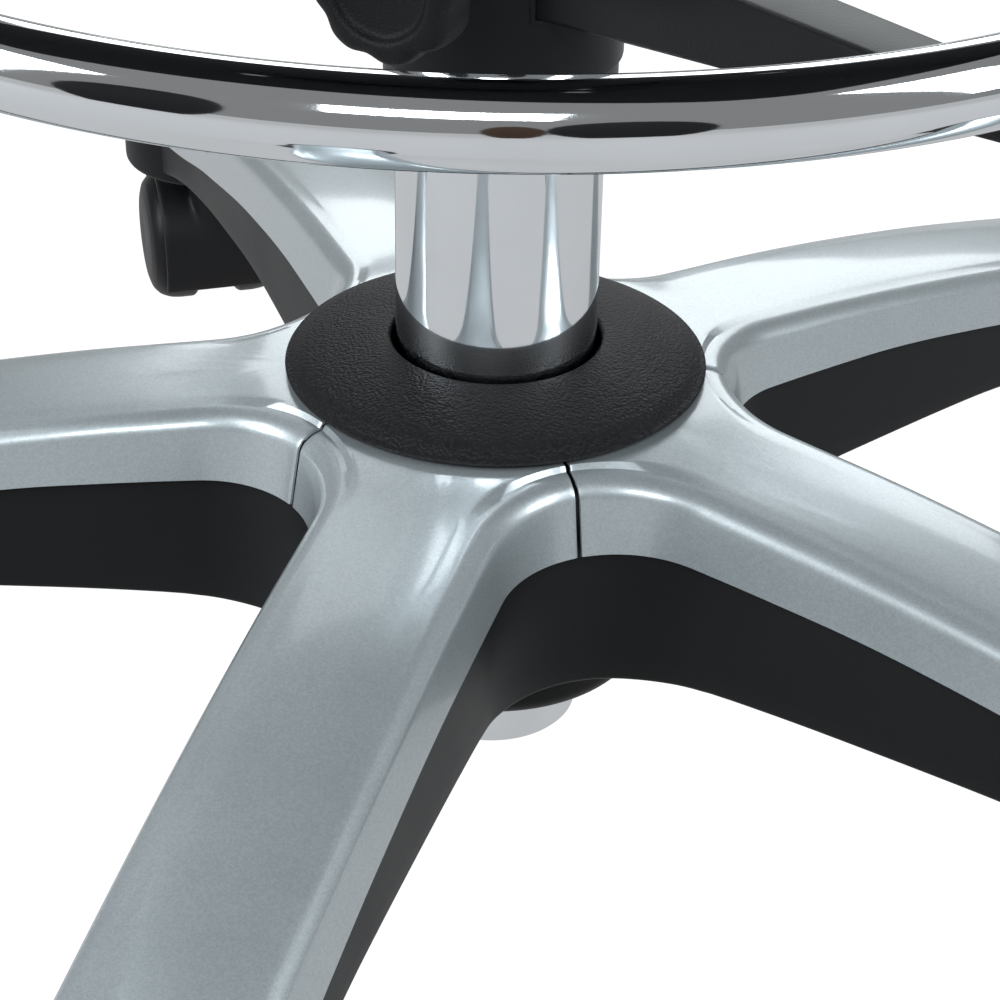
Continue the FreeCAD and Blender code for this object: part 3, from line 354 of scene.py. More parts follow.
def metal_finish(name, base, rough, spread, scale=900.0, strength=0.02):
    material, tree, shader, place = start_material(name, base, rough, 1.0)
    grain = use_group(tree, "grain", place, Scale=scale, Cloud=45.0)
    shaded(tree, shader, base, grain.outputs["Clouds"], 0.93, 1.04)
    vary(tree, grain.outputs["Clouds"], rough, rough + spread, shader.inputs["Roughness"])
    add_bump(tree, shader, grain.outputs["Height"], strength, 0.00005)
    return material


def cloth_finish(name, base):
    material, tree, shader, place = start_material(name, base, 0.86, specular=0.3)
    shader.inputs["Sheen Weight"].default_value = 0.35
    shader.inputs["Sheen Roughness"].default_value = 0.5
    weave = use_group(tree, "weave", place)
    shaded(tree, shader, base, weave.outputs["Shade"], 0.5, 1.5)
    add_bump(tree, shader, weave.outputs["Height"], 0.7, 0.0004)
    return material


def wood_finish(name, base):
    """Birch plywood: rings drawn out along the board."""
    material, tree, shader, place = start_material(name, base, 0.55)
    drawn = tree.add("ShaderNodeMapping")
    drawn.inputs["Scale"].default_value = (60.0, 6.0, 400.0)
    tree.join(place, drawn.inputs["Vector"])
    rings = tree.noise(drawn.outputs[0], 1.0, 4.0)
    shaded(tree, shader, base, rings, 0.65, 1.25)
    add_bump(tree, shader, rings, 0.2, 0.0003)
    return material


FINISHES = {}


def finish(slot):
    """The finish of a material slot, built once from the scene's colours."""
    if slot in FINISHES:
        return FINISHES[slot]
    c = bpy.context.scene.chair_colours
    makers = {
        "silver_paint": lambda: paint_finish("silver_paint", tuple(c.paint)),
        "black_nylon": lambda: moulded_finish("black_nylon", tuple(c.nylon), 0.44, 2600.0, 0.35),
        "collar_plastic": lambda: leather_finish("collar_plastic", tuple(c.collar)),
        "chrome": lambda: metal_finish("chrome", tuple(c.chrome), 0.035, 0.03),
        "plain_steel": lambda: metal_finish("plain_steel", (0.52, 0.53, 0.55), 0.28, 0.12),
        "spring_steel": lambda: metal_finish("spring_steel", (0.30, 0.30, 0.31), 0.35, 0.1),
        "bush_plastic": lambda: moulded_finish("bush_plastic", (0.03, 0.03, 0.032), 0.4, 1800.0,
                                               0.2),
        "rubber": lambda: moulded_finish("rubber", (0.02, 0.02, 0.02), 0.8, 1500.0, 0.4),
        "caster_nylon": lambda: moulded_finish("caster_nylon", tuple(c.caster), 0.44, 2400.0, 0.3),
        "wheel_nylon": lambda: moulded_finish("wheel_nylon", tuple(c.wheel), 0.40, 2000.0, 0.22),
        "black_steel": lambda: moulded_finish("black_steel", tuple(c.steel), 0.36, 1500.0, 0.25),
        "knob_plastic": lambda: moulded_finish("knob_plastic", tuple(c.knob), 0.5, 1700.0, 0.6,
                                               0.0004),
        "plywood": lambda: wood_finish("plywood", (0.52, 0.36, 0.20)),
        "shell_plastic": lambda: moulded_finish("shell_plastic", tuple(c.shell), 0.5, 1400.0, 0.5,
                                                0.0004),
        "black_fabric": lambda: cloth_finish("black_fabric", tuple(c.fabric)),
    }
    FINISHES[slot] = makers[slot]()
    return FINISHES[slot]


# ---- mesh helpers --------------------------------------------------------------------------------

def eased(share):
    share = min(1.0, max(0.0, share))
    return share * share * (3 - 2 * share)


def smooth_line(points):
    """A function that passes smoothly through points, with no bumps between them."""
    xs = [p[0] for p in points]
    ys = [p[1] for p in points]
    slopes = [(ys[i + 1] - ys[i]) / (xs[i + 1] - xs[i]) for i in range(len(xs) - 1)]
    tangents = [slopes[0]]
    for a, b in zip(slopes, slopes[1:]):
        tangents.append(0.0 if a * b <= 0 else 2 * a * b / (a + b))
    tangents.append(slopes[-1])

    def at(x):
        x = min(max(x, xs[0]), xs[-1])
        i = max(j for j in range(len(xs) - 1) if xs[j] <= x)
        step = xs[i + 1] - xs[i]
        t = (x - xs[i]) / step
        rise = (2 * t**3 - 3 * t**2 + 1) * ys[i] + (3 * t**2 - 2 * t**3) * ys[i + 1]
        return rise + step * ((t**3 - 2 * t**2 + t) * tangents[i] + (t**3 - t**2) * tangents[i + 1])
    return at


def rounded_profile(points, radius, steps=4):
    """A closed outline with each corner rounded by up to a radius."""
    made = []
    count = len(points)
    for i in range(count):
        here = Vector(points[i]).to_2d()
        before = Vector(points[i - 1]).to_2d() - here
        after = Vector(points[(i + 1) % count]).to_2d() - here
        cut = min(radius, before.length * 0.45, after.length * 0.45)
        on_axis = abs(here.x) < 1e-6
        if on_axis or cut < 1e-6:
            made.append(here)
            continue
        start = here + before.normalized() * cut
        end = here + after.normalized() * cut
        for k in range(steps + 1):
            t = k / steps
            made.append(start * (1 - t) ** 2 + here * 2 * t * (1 - t) + end * t * t)
    return made


def bridge(mesh, lines, around=True):
    """Faces between neighbouring lines of vertices, each line closed on itself when around."""
    for one, two in zip(lines, lines[1:]):
        count = len(one)
        for i in range(count if around else count - 1):
            j = (i + 1) % count
            mesh.faces.new((one[i], two[i], two[j], one[j]))


def lathe(mesh, profile, steps=128, matrix=Matrix.Identity(4)):
    """Turn a closed outline of radius and height about Z, into a bmesh."""
    rings = []
    for k in range(steps):
        angle = 2 * math.pi * k / steps
        rings.append([mesh.verts.new(matrix @ Vector((p[0] * math.cos(angle),
                                                      p[0] * math.sin(angle), p[1])))
                      for p in profile])
    count = len(profile)
    for k in range(steps):
        ring, following = rings[k], rings[(k + 1) % steps]
        for i in range(count):
            j = (i + 1) % count
            if abs(profile[i][0]) < 1e-7 and abs(profile[j][0]) < 1e-7:
                continue
            mesh.faces.new((ring[i], following[i], following[j], ring[j]))


def box(mesh, low, high, matrix=Matrix.Identity(4), bevel=0.0, segments=2):
    """A box between two corners, its edges rounded, into a bmesh."""
    made = bmesh.ops.create_cube(mesh, size=1.0)["verts"]
    low, high = Vector(low), Vector(high)
    for vert in made:
        share = vert.co + Vector((0.5, 0.5, 0.5))
        vert.co = Vector(low[i] + (high[i] - low[i]) * share[i] for i in range(3))
    if bevel:
        edges = list({edge for vert in made for edge in vert.link_edges})
        made = bmesh.ops.bevel(mesh, geom=edges, offset=bevel, segments=segments,
                               affect="EDGES", profile=0.5)["verts"]
    for vert in made:
        vert.co = matrix @ vert.co


def to_mesh(mesh, name, merge=1e-6, sharp=38):
    """Close a bmesh into mesh data with its faces outward, and free it."""
    if merge:
        bmesh.ops.remove_doubles(mesh, verts=mesh.verts, dist=merge)
        bmesh.ops.dissolve_degenerate(mesh, edges=mesh.edges, dist=1e-7)
    bmesh.ops.recalc_face_normals(mesh, faces=mesh.faces)
    data = bpy.data.meshes.new(name)
    mesh.to_mesh(data)
    mesh.free()
    data.shade_smooth()
    if sharp:
        data.set_sharp_from_angle(angle=math.radians(sharp))
    return data


def to_object(data, name):
    made = bpy.data.objects.new(name, data)
    bpy.context.scene.collection.objects.link(made)
    return made


def baked(thing, name, sharp=38):
    """The object's mesh as its modifiers leave it, in a new plain object."""
    graph = bpy.context.evaluated_depsgraph_get()
    data = bpy.data.meshes.new_from_object(thing.evaluated_get(graph), depsgraph=graph)
    data.name = name
    old = thing.data
    bpy.data.objects.remove(thing)
    if old.users == 0:
        bpy.data.meshes.remove(old)
    data.shade_smooth()
    if sharp:
        data.set_sharp_from_angle(angle=math.radians(sharp))
    return to_object(data, name)


def piece(thing, body, slot, *nodes):
    """Give a finished object its finish, its body and the CAD nodes it stands for."""
    thing.data.materials.clear()
    thing.data.materials.append(finish(slot))
    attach(thing, body)
    if nodes:
        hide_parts(*nodes)
    return thing


# ---- geometry node trees -------------------------------------------------------------------------

def geometry_tree(name, inputs):
    """A geometry node tree with named inputs, its input node and the sockets' identifiers."""
    group = bpy.data.node_groups.new(name, "GeometryNodeTree")
    group.interface.new_socket(name="Geometry", in_out="INPUT", socket_type="NodeSocketGeometry")
    names = {}
    for socket, (kind, value) in inputs.items():
        made = group.interface.new_socket(name=socket, in_out="INPUT", socket_type=kind)
        if value is not None:
            made.default_value = value
        names[socket] = made.identifier
    group.interface.new_socket(name="Geometry", in_out="OUTPUT", socket_type="NodeSocketGeometry")
    tree = Tree(group)
    return tree, tree.add("NodeGroupInput"), names


def close_tree(tree, start, geometry):
    """End a tree in Realize Instances and Set Material."""
    real = tree.add("GeometryNodeRealizeInstances")
    tree.join(geometry, real.inputs[0])
    paint = tree.add("GeometryNodeSetMaterial")
    tree.join(real.outputs[0], paint.inputs["Geometry"])
    tree.join(start.outputs["Material"], paint.inputs["Material"])
    end = tree.add("NodeGroupOutput")
    tree.join(paint.outputs[0], end.inputs[0])


def run_tree(thing, tree, values, name, sharp=38):
    """Put a tree on an object, set its inputs by identifier and return its baked result."""
    modifier = thing.modifiers.new(name, "NODES")
    modifier.node_group = tree
    for key, value in values.items():
        modifier[key] = value
    return baked(thing, name, sharp)


TREES = {}


def ring_tree():
    """Copies of the object round the Z axis, as arms and spokes stand."""
    if "ring" not in TREES:
        tree, start, names = geometry_tree("round_axis", {
            "Count": ("NodeSocketInt", 5), "Step": (FLOAT, 1.0), "Start": (FLOAT, 0.0),
            "Material": ("NodeSocketMaterial", None)})
        line = tree.add("GeometryNodeMeshLine")
        tree.join(start.outputs["Count"], line.inputs["Count"])
        line.inputs["Offset"].default_value = (0.0, 0.0, 0.0)
        index = tree.add("GeometryNodeInputIndex")
        turn = tree.maths("MULTIPLY_ADD", index.outputs[0], start.outputs["Step"],
                          start.outputs["Start"])
        turned = tree.add("ShaderNodeCombineXYZ")
        tree.join(turn, turned.inputs["Z"])
        copies = tree.add("GeometryNodeInstanceOnPoints")
        tree.join(line.outputs[0], copies.inputs["Points"])
        tree.join(start.outputs["Geometry"], copies.inputs["Instance"])
        tree.join(turned.outputs[0], copies.inputs["Rotation"])
        close_tree(tree, start, copies.outputs[0])
        TREES["ring"] = (tree.tree, names)
    return TREES["ring"]


def round_axis(data, name, count, step, start, slot):
    """Copies of a mesh round the Z axis in one object."""
    tree, names = ring_tree()
    thing = to_object(data, name)
    return run_tree(thing, tree, {names["Count"]: count, names["Step"]: step,
                                  names["Start"]: start, names["Material"]: finish(slot)}, name)


def welt_tree():
    """A round cord that follows the object's closed line of edges."""
    if "welt" not in TREES:
        tree, start, names = geometry_tree("welt", {
            "Radius": (FLOAT, 0.002), "Material": ("NodeSocketMaterial", None)})
        line = tree.add("GeometryNodeMeshToCurve")
        tree.join(start.outputs["Geometry"], line.inputs[0])
        circle = tree.add("GeometryNodeCurvePrimitiveCircle", in_Resolution=10)
        tree.join(start.outputs["Radius"], circle.inputs["Radius"])
        tube = tree.add("GeometryNodeCurveToMesh")
        tree.join(line.outputs[0], tube.inputs[0])
        tree.join(circle.outputs[0], tube.inputs[1])
        close_tree(tree, start, tube.outputs[0])
        TREES["welt"] = (tree.tree, names)
    return TREES["welt"]


def stitch_tree():
    """Short threads laid end to end along the object's line of edges."""
    if "stitch" not in TREES:
        tree, start, names = geometry_tree("stitches", {
            "Spacing": (FLOAT, 0.006), "Thread": (FLOAT, 0.0005),
            "Material": ("NodeSocketMaterial", None)})
        line = tree.add("GeometryNodeMeshToCurve")
        tree.join(start.outputs["Geometry"], line.inputs[0])
        points = tree.add("GeometryNodeCurveToPoints", mode="LENGTH")
        tree.join(line.outputs[0], points.inputs[0])
        tree.join(start.outputs["Spacing"], points.inputs["Length"])
        thread = tree.add("GeometryNodeMeshUVSphere", in_Segments=6, in_Rings=4)
        tree.join(start.outputs["Thread"], thread.inputs["Radius"])
        longer = tree.add("GeometryNodeTransform")
        longer.inputs["Scale"].default_value = (1.0, 1.0, 4.2)
        tree.join(thread.outputs[0], longer.inputs[0])
        copies = tree.add("GeometryNodeInstanceOnPoints")
        tree.join(points.outputs["Points"], copies.inputs["Points"])
        tree.join(longer.outputs[0], copies.inputs["Instance"])
        tree.join(points.outputs["Rotation"], copies.inputs["Rotation"])
        close_tree(tree, start, copies.outputs[0])
        TREES["stitch"] = (tree.tree, names)
    return TREES["stitch"]


def line_object(points, name, closed=True):
    """A line of edges through points."""
    mesh = bmesh.new()
    verts = [mesh.verts.new(p) for p in points]
    for a, b in zip(verts, verts[1:] + verts[:1] if closed else verts[1:]):
        mesh.edges.new((a, b))
    data = bpy.data.meshes.new(name)
    mesh.to_mesh(data)
    mesh.free()
    return to_object(data, name)


# ---- base ----------------------------------------------------------------------------------------

FLARE_START = 0.262
RIB_PLACES = (0.28, 0.43, 0.58, 0.73)
HEAD_RADIUS = 0.032
STEM_RADIUS = Vector(frame["record"]["behaviour"]["joints"][0]["pos_m"]).to_2d().length
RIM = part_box("arm_cover_1")[1].z + 0.0012
TOP = [(0, -1), (52, -2), (70, -4.4), (110, -8.5), (160, -16), (221, -28.5), (301, -47), (360, -55)]
SKIRT = [(0, -21.5), (60, -21.5), (110, -23.5), (160, -30), (221, -43.2), (288, -59.0), (360, -62)]
BELLY = [(0, -60.5), (62, -60.5), (85, -57.8), (115, -56.2), (160, -55.2), (221, -61),
         (283, -73), (320, -82), (360, -82)]


def heights(points):
    """A function that gives a height in metres for a distance from the column's axis."""
    curve = smooth_line(points)
    return lambda radius: RIM + curve(radius / MM) * MM


def star_stations(half, web, tip, hub):
    """Stations along one side of an arm: outline point, inward direction and spine point."""
    stations = []
    far = (half + web) / math.sin(HALF_STEP)
    centre = Vector((far * math.cos(HALF_STEP), far * math.sin(HALF_STEP)))
    count = 16
    for i in range(count + 1):
        share = i / count
        angle = math.radians(216) + share * math.radians(54)
        way = Vector((math.cos(angle), math.sin(angle)))
        lean = HALF_STEP * (1 - share)
        spine = Vector((hub * math.cos(lean), hub * math.sin(lean)))
        stations.append((centre + way * web, way, spine))
    end = STEM_RADIUS
    joins = centre.x + 0.055
    count = 44
    for i in range(1, count + 1):
        x = centre.x + (end - centre.x) * i / count
        wide = half + (tip - half) * eased((x - FLARE_START) / (end - FLARE_START))
        spine = hub + (joins - hub) * eased((x - centre.x) / (joins - centre.x)) if x < joins else x
        stations.append((Vector((x, wide)), Vector((0.0, -1.0)), Vector((spine, 0.0))))
    count = 16
    for i in range(1, count + 1):
        angle = math.radians(90) * (1 - i / count)
        way = Vector((math.cos(angle), math.sin(angle)))
        spine = Vector((end + tip * 0.25 * i / count, 0.0))
        stations.append((Vector((end, 0.0)) + way * tip, -way, spine))
    return stations


def arm_skin(mesh, stations, rows, turn=0.0):
    """A skin over one arm, both sides, from rows of points that each station gives."""
    spin = Matrix.Rotation(turn, 4, "Z")
    for side in (1, -1):
        lines = []
        for index, station in enumerate(stations):
            points = rows(index, station)
            lines.append([mesh.verts.new(spin @ Vector((p.x, p.y * side, p.z))) for p in points])
        bridge(mesh, lines, around=False)


def thicken(thing, wall):
    """Give a skin its wall, inwards from its outer face."""
    solid = thing.modifiers.new("wall", "SOLIDIFY")
    solid.thickness = wall
    solid.offset = -1.0
    solid.use_even_offset = True
    solid.use_quality_normals = True


def outward_skin(mesh):
    """Point an open skin's faces up and outward."""
    bmesh.ops.remove_doubles(mesh, verts=mesh.verts, dist=2e-5)
    bmesh.ops.recalc_face_normals(mesh, faces=mesh.faces)
    highest = max(mesh.faces, key=lambda face: face.calc_center_median().z)
    if highest.normal.z < 0:
        bmesh.ops.reverse_faces(mesh, faces=mesh.faces)


def skin_object(mesh, name):
    data = bpy.data.meshes.new(name)
    mesh.to_mesh(data)
    mesh.free()
    return to_object(data, name)


def cover_mesh(s):
    """One cover: a crowned top, a rounded ridge and a leaning side wall."""
    top, skirt = heights(TOP), heights(SKIRT)
    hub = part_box("hub_collar")[1].x - 0.0086
    stations = star_stations(s.cover_half, s.cover_web, s.cover_tip, hub)
    seam = Vector((math.sin(HALF_STEP), -math.cos(HALF_STEP)))
    shoulders = [(s.seam_gap / 2, 0.00055), (s.seam_gap / 2 + 0.00018, 0.00012),
                 (s.seam_gap / 2 + 0.0006, 0.0)]
    first = stations[0]
    stations = [first, first, first] + stations[1:]
    lean = 0.0026
    r = s.ridge_round
    inner = lean + r * 1.25

    def rows(index, station):
        edge, way, spine = station
        shift, drop = shoulders[index] if index < 3 else (0.0, 0.0)
        edge = edge + seam * shift
        spine = spine + seam * shift
        reach = edge.length
        ridge = top(reach)
        low = skirt(reach)
        points = []
        start = edge + way * inner
        for k in range(9):
            share = k / 9
            flat = spine.lerp(start, share)
            rise = s.crown * (1 - share ** 2.4) * eased((flat.length - 0.075) / 0.05)
            points.append(Vector((*flat, top(flat.length) + rise - drop)))
        for k in range(9):
            turn = math.radians(82) * k / 8
            inset = lean + r * 1.25 * (1 - math.sin(turn) / math.sin(math.radians(82)))
            flat = edge + way * (inset + drop)
            points.append(Vector((*flat, ridge - r * (1 - math.cos(turn)) - drop * (k < 5))))
        shoulder = points[-1].z
        for k in range(1, 6):
            share = k / 5
            flat = edge + way * (lean * (1 - share) + drop)
            points.append(Vector((*flat, shoulder + (low - shoulder) * share)))
        return points

    mesh = bmesh.new()
    arm_skin(mesh, stations, rows)
    outward_skin(mesh)
    thing = skin_object(mesh, "cover_skin")
    thicken(thing, s.cover_wall)
    return baked(thing, "cover")


def frame_mesh(s):
    """The black star: a moulded shell that is open below, with ribs, hub and caster heads."""
    top, belly, skirt = heights(TOP), heights(BELLY), heights(SKIRT)
    under = s.cover_wall + 0.0006
    tip = s.cover_tip - under
    stations = star_stations(s.frame_half, s.frame_web, tip, hub=0.020)
    corner = 0.0014

    def rows(_index, station):
        edge, way, spine = station
        reach = edge.length
        points = []
        start = edge + way * 0.004
        for k in range(6):
            flat = spine.lerp(start, k / 6)
            points.append(Vector((*flat, top(flat.length) - under)))
        high = top(reach) - under
        low = belly(reach)
        for inset, drop in ((0.004, 0.0), (0.0018, 0.0004), (0.0005, 0.0018), (0.0, 0.004)):
            points.append(Vector((*(edge + way * inset), high - drop)))
        start_z = high - 0.004
        for k in range(1, 8):
            points.append(Vector((*edge, start_z + (low + corner - start_z) * k / 8)))
        for turn in (0, 30, 60, 90):
            angle = math.radians(turn)
            flat = edge + way * corner * (1 - math.cos(angle))
            points.append(Vector((*flat, low + corner * (1 - math.sin(angle)))))
        return points

    mesh = bmesh.new()
    for k in range(ARMS):
        arm_skin(mesh, stations, rows, FIRST_ARM + k * ARM_STEP)
    outward_skin(mesh)
    thing = skin_object(mesh, "frame_skin")
    thicken(thing, s.frame_wall)
    shell = baked(thing, "frame_shell")
    mesh = bmesh.new()
    mesh.from_mesh(shell.data)
    bpy.data.objects.remove(shell)
    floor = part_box("base_frame")[0].z
    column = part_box("column_tube")[1].x
    rib = 0.0013
    for k in range(ARMS):
        spin = Matrix.Rotation(FIRST_ARM + k * ARM_STEP, 4, "Z")
        for share in RIB_PLACES:
            x = STEM_RADIUS * share
            half = s.frame_half - 0.002
            box(mesh, (x - rib, -half, belly(x) + 0.003), (x + rib, half, top(x) - 0.005), spin)
        lines = []
        for i in range(31):
            x = 0.036 + (STEM_RADIUS - 0.048) * i / 30
            lines.append([mesh.verts.new(spin @ Vector((x, y, z)))
                          for y, z in ((-rib, belly(x) + 0.003), (rib, belly(x) + 0.003),
                                       (rib, top(x) - 0.005), (-rib, top(x) - 0.005))])
        bridge(mesh, lines)
        mesh.faces.new(lines[0])
        mesh.faces.new(lines[-1][::-1])
        place = spin @ Matrix.Translation((STEM_RADIUS, 0.0, floor))
        head = HEAD_RADIUS
        high = skirt(STEM_RADIUS) - 0.0005 - floor
        outline = rounded_profile([(0, 0.002), (head - 0.006, 0.002), (head - 0.005, 0),
                                   (head, 0), (head, high), (0, high)], 0.003)
        lathe(mesh, outline, 64, place)
    boss = column + 0.017
    outline = rounded_profile([(column + 0.0004, 0), (boss - 0.002, 0), (boss, 0.003),
                               (boss, 0.024), (boss - 0.008, 0.026), (boss - 0.008, 0.075),
                               (column + 0.0004, 0.075)], 0.0025)
    lathe(mesh, outline, 96, Matrix.Translation((0, 0, floor)))
    return to_object(to_mesh(mesh, "base_star", merge=0), "base_star")


class CHAIR_OT_covers(bpy.types.Operator):
    """Five painted covers on the arms of the base."""
    bl_idname = "chair.covers"
    bl_label = "Arm covers"

    def execute(self, context):
        s = context.scene.chair_sizes
        cover = cover_mesh(s)
        data = cover.data.copy()
        bpy.data.objects.remove(cover)
        covers = round_axis(data, "arm_covers", ARMS, ARM_STEP, FIRST_ARM, "silver_paint")
        piece(covers, "base", "silver_paint", *[f"arm_cover_{k + 1}" for k in range(ARMS)])
        return {"FINISHED"}


class CHAIR_OT_base_star(bpy.types.Operator):
    """The black star under the covers."""
    bl_idname = "chair.base_star"
    bl_label = "Base frame"

    def execute(self, context):
        star = frame_mesh(context.scene.chair_sizes)
        piece(star, "base", "black_nylon", "base_frame")
        return {"FINISHED"}


class CHAIR_OT_collar(bpy.types.Operator):
    """The grained collar round the column, dished from its hole to a thin lip."""
    bl_idname = "chair.collar"
    bl_label = "Hub collar"

    def execute(self, context):
        low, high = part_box("hub_collar")
        outer = high.x
        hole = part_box("column_tube")[1].x + 0.0013
        crest = high.z
        lip = RIM - 0.0005
        outline = [(hole, crest - 0.0006), (hole + 0.0006, crest), (hole + 0.0045, crest - 0.0002),
                   (hole + 0.010, crest - 0.0011), (hole + 0.0165, crest - 0.0027),
                   (hole + 0.022, crest - 0.0045), (outer - 0.0014, lip + 0.0010),
                   (outer - 0.0003, lip + 0.0007), (outer, lip + 0.0002), (outer - 0.0003, lip),
                   (outer - 0.011, lip), (outer - 0.011, low.z), (outer - 0.0135, low.z),
                   (outer - 0.0135, lip), (hole + 0.002, crest - 0.0030), (hole, crest - 0.0028)]
        mesh = bmesh.new()
        lathe(mesh, rounded_profile(outline, 0.0022, 3), 192)
        piece(to_object(to_mesh(mesh, "collar_disc"), "collar_disc"), "base", "collar_plastic",
              "hub_collar")
        return {"FINISHED"}


class CHAIR_OT_column(bpy.types.Operator):
    """The chromed column with its tapered foot."""
    bl_idname = "chair.column"
    bl_label = "Column"

    def execute(self, context):
        low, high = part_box("column_tube")
        radius = high.x
        taper = RIM - 0.018
        foot = radius - (taper - low.z) * 0.0251
        wall = 0.0016
        outline = [(foot - 0.0005, low.z), (foot, low.z + 0.0006), (radius, taper),
                   (radius, high.z - 0.0006), (radius - 0.0006, high.z),
                   (radius - wall, high.z), (radius - wall, low.z + 0.003),
                   (0.0, low.z + 0.003), (0.0, low.z)]
        mesh = bmesh.new()
        lathe(mesh, outline, 256)
        piece(to_object(to_mesh(mesh, "column"), "column"), "base", "chrome", "column_tube")
        return {"FINISHED"}


# ---- foot ring -----------------------------------------------------------------------------------

class CHAIR_OT_foot_ring(bpy.types.Operator):
    """The chromed foot ring, its three spokes and the welded sleeve."""
    bl_idname = "chair.foot_ring"
    bl_label = "Foot ring"

    def execute(self, context):
        low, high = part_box("foot_ring")
        tube = (high.z - low.z) / 2
        radius = high.x - tube
        height = (high.z + low.z) / 2
        outline = [(radius + tube * math.cos(2 * math.pi * k / 64),
                    height + tube * math.sin(2 * math.pi * k / 64)) for k in range(64)]
        mesh = bmesh.new()
        lathe(mesh, outline, 320)
        piece(to_object(to_mesh(mesh, "ring_tube", sharp=None), "ring_tube"), "foot_ring",
              "chrome", "foot_ring")
        sleeve = self.sleeve()
        self.spokes(height, tube, radius, sleeve)
        return {"FINISHED"}

    def sleeve(self):
        """The sleeve with its clamp boss."""
        low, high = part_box("ring_hub")
        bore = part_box("column_tube")[1].x + 0.0014
        outer = bore + 0.0021
        stud_low, stud_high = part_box("clamp_stud")
        way = ((stud_low + stud_high) / 2).to_2d().normalized()
        centre = (stud_low.z + stud_high.z) / 2
        mesh = bmesh.new()
        lathe(mesh, rounded_profile([(bore, low.z), (outer, low.z), (outer, high.z),
                                     (bore, high.z)], 0.0007, 3), 160)
        turn = Vector((0, 0, 1)).rotation_difference(Vector((way.x, way.y, 0))).to_matrix().to_4x4()
        start = Matrix.Translation((0, 0, centre)) @ turn
        boss = 0.009
        reach = outer + 0.0095
        lathe(mesh, rounded_profile([(0.0042, outer - 0.002), (boss + 0.0015, outer - 0.002),
                                     (boss, outer + 0.003), (boss, reach), (0.0042, reach)],
                                    0.0011, 3), 48, start)
        piece(to_object(to_mesh(mesh, "ring_sleeve", merge=0), "ring_sleeve"), "foot_ring",
              "black_steel", "ring_hub")
        return outer

    def spokes(self, height, tube, radius, sleeve):
        """Tapered bars with eased edges, welded to the sleeve and let in under the ring."""
        root_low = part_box("ring_spokes")[0].z
        root_high = root_low + 0.023
        end_high = height - tube + 0.0008
        end_low = end_high - 0.006
        start, end = sleeve - 0.0006, radius + 0.005
        half, end_half = 0.0094, 0.0073
        edge = 0.0016
        mesh = bmesh.new()
        lines = []
        for i in range(25):
            share = i / 24
            x = start + (end - start) * share
            wide = half + (end_half - half) * share
            high = root_high + (end_high - root_high) * share
            low = root_low + (end_low - root_low) * share
            away = abs(x - radius)
            if away < tube:
                high = min(high, height - math.sqrt(tube * tube - away * away))
            corner = min(edge, (high - low) * 0.4)
            ring = []
            for cx, cz, first in ((wide - corner, high - corner, 0),
                                  (-wide + corner, high - corner, 90),
                                  (-wide + corner, low + corner, 180),
                                  (wide - corner, low + corner, 270)):
                for step in range(5):
                    angle = math.radians(first + step * 22.5)
                    ring.append(mesh.verts.new((x, cx + corner * math.cos(angle),
                                                cz + corner * math.sin(angle))))
            lines.append(ring)
        bridge(mesh, lines)
        mesh.faces.new(lines[0])
        mesh.faces.new(lines[-1])
        self.weld(mesh, start, half, root_low, root_high)
        spokes = round_axis(to_mesh(mesh, "spoke", merge=0), "spoke_bars", 3, math.radians(120),
                            math.radians(80), "black_steel")
        piece(spokes, "foot_ring", "black_steel", "ring_spokes")

    def weld(self, mesh, start, half, low, high):
        """A rippled bead round the spoke's root."""
        bead = 0.0013
        corners = [(half, low), (half, high), (-half, high), (-half, low)]
        count = 22
        points = []
        for (ay, az), (by, bz) in zip(corners, corners[1:] + corners[:1]):
            for i in range(count):
                t = i / count
                points.append((ay + (by - ay) * t, az + (bz - az) * t))
        rings = []
        for i, (y, z) in enumerate(points):
            swell = bead * (1 + 0.06 * math.sin(i * 2.1))
            outward = Vector((0, y / half, (2 * z - low - high) / (high - low))).normalized()
            back = math.sqrt(max(1e-9, start * start - y * y)) - start
            centre = Vector((start + back, y, z))
            rings.append([mesh.verts.new(centre + Vector((1, 0, 0)) * swell * math.cos(a)
                                         + outward * swell * math.sin(a))
                          for a in (2 * math.pi * k / 8 for k in range(8))])
        bridge(mesh, rings + rings[:1])


def knob_mesh(radius, length, lobes, neck=0.0, hollow=0.0):
    """A hand knob with soft lobes and a dished face, along +Z from its back."""
    mesh = bmesh.new()
    steps = 192
    profile = [(0.0, 0.0), (radius * 0.5, 0.0), (radius * 0.78, 0.0008), (radius * 0.95, 0.0022),
               (radius, length * 0.30), (radius, length * 0.62), (radius * 0.965, length * 0.84),
               (radius * 0.87, length * 0.96), (radius * 0.74, length),
               (radius * 0.66, length * 0.985), (radius * 0.60, length - hollow),
               (radius * 0.3, length - hollow), (0.0, length - hollow)]
    profile = rounded_profile(profile, radius * 0.08, 3)
    rings = []
    for k in range(steps):
        angle = 2 * math.pi * k / steps
        wave = math.cos(angle * lobes)
        dent = 0.075 * (0.5 - 0.5 * wave) ** 1.6
        ring = []
        for r, z in profile:
            share = eased((r / radius - 0.55) / 0.4)
            r = r * (1 - dent * share)
            ring.append(mesh.verts.new((r * math.cos(angle), r * math.sin(angle), z)))
        rings.append(ring)
    bridge(mesh, rings + rings[:1], around=False)
    if neck:
        lathe(mesh, [(0, -neck), (radius * 0.5, -neck), (radius * 0.5, 0.001), (0, 0.001)], 64)
    return to_mesh(mesh, "knob")


def placed_mesh(data, name, matrix):
    """A copy of a mesh, moved to its place, in an object at the origin."""
    copy = data.copy()
    copy.transform(matrix)
    return to_object(copy, name)


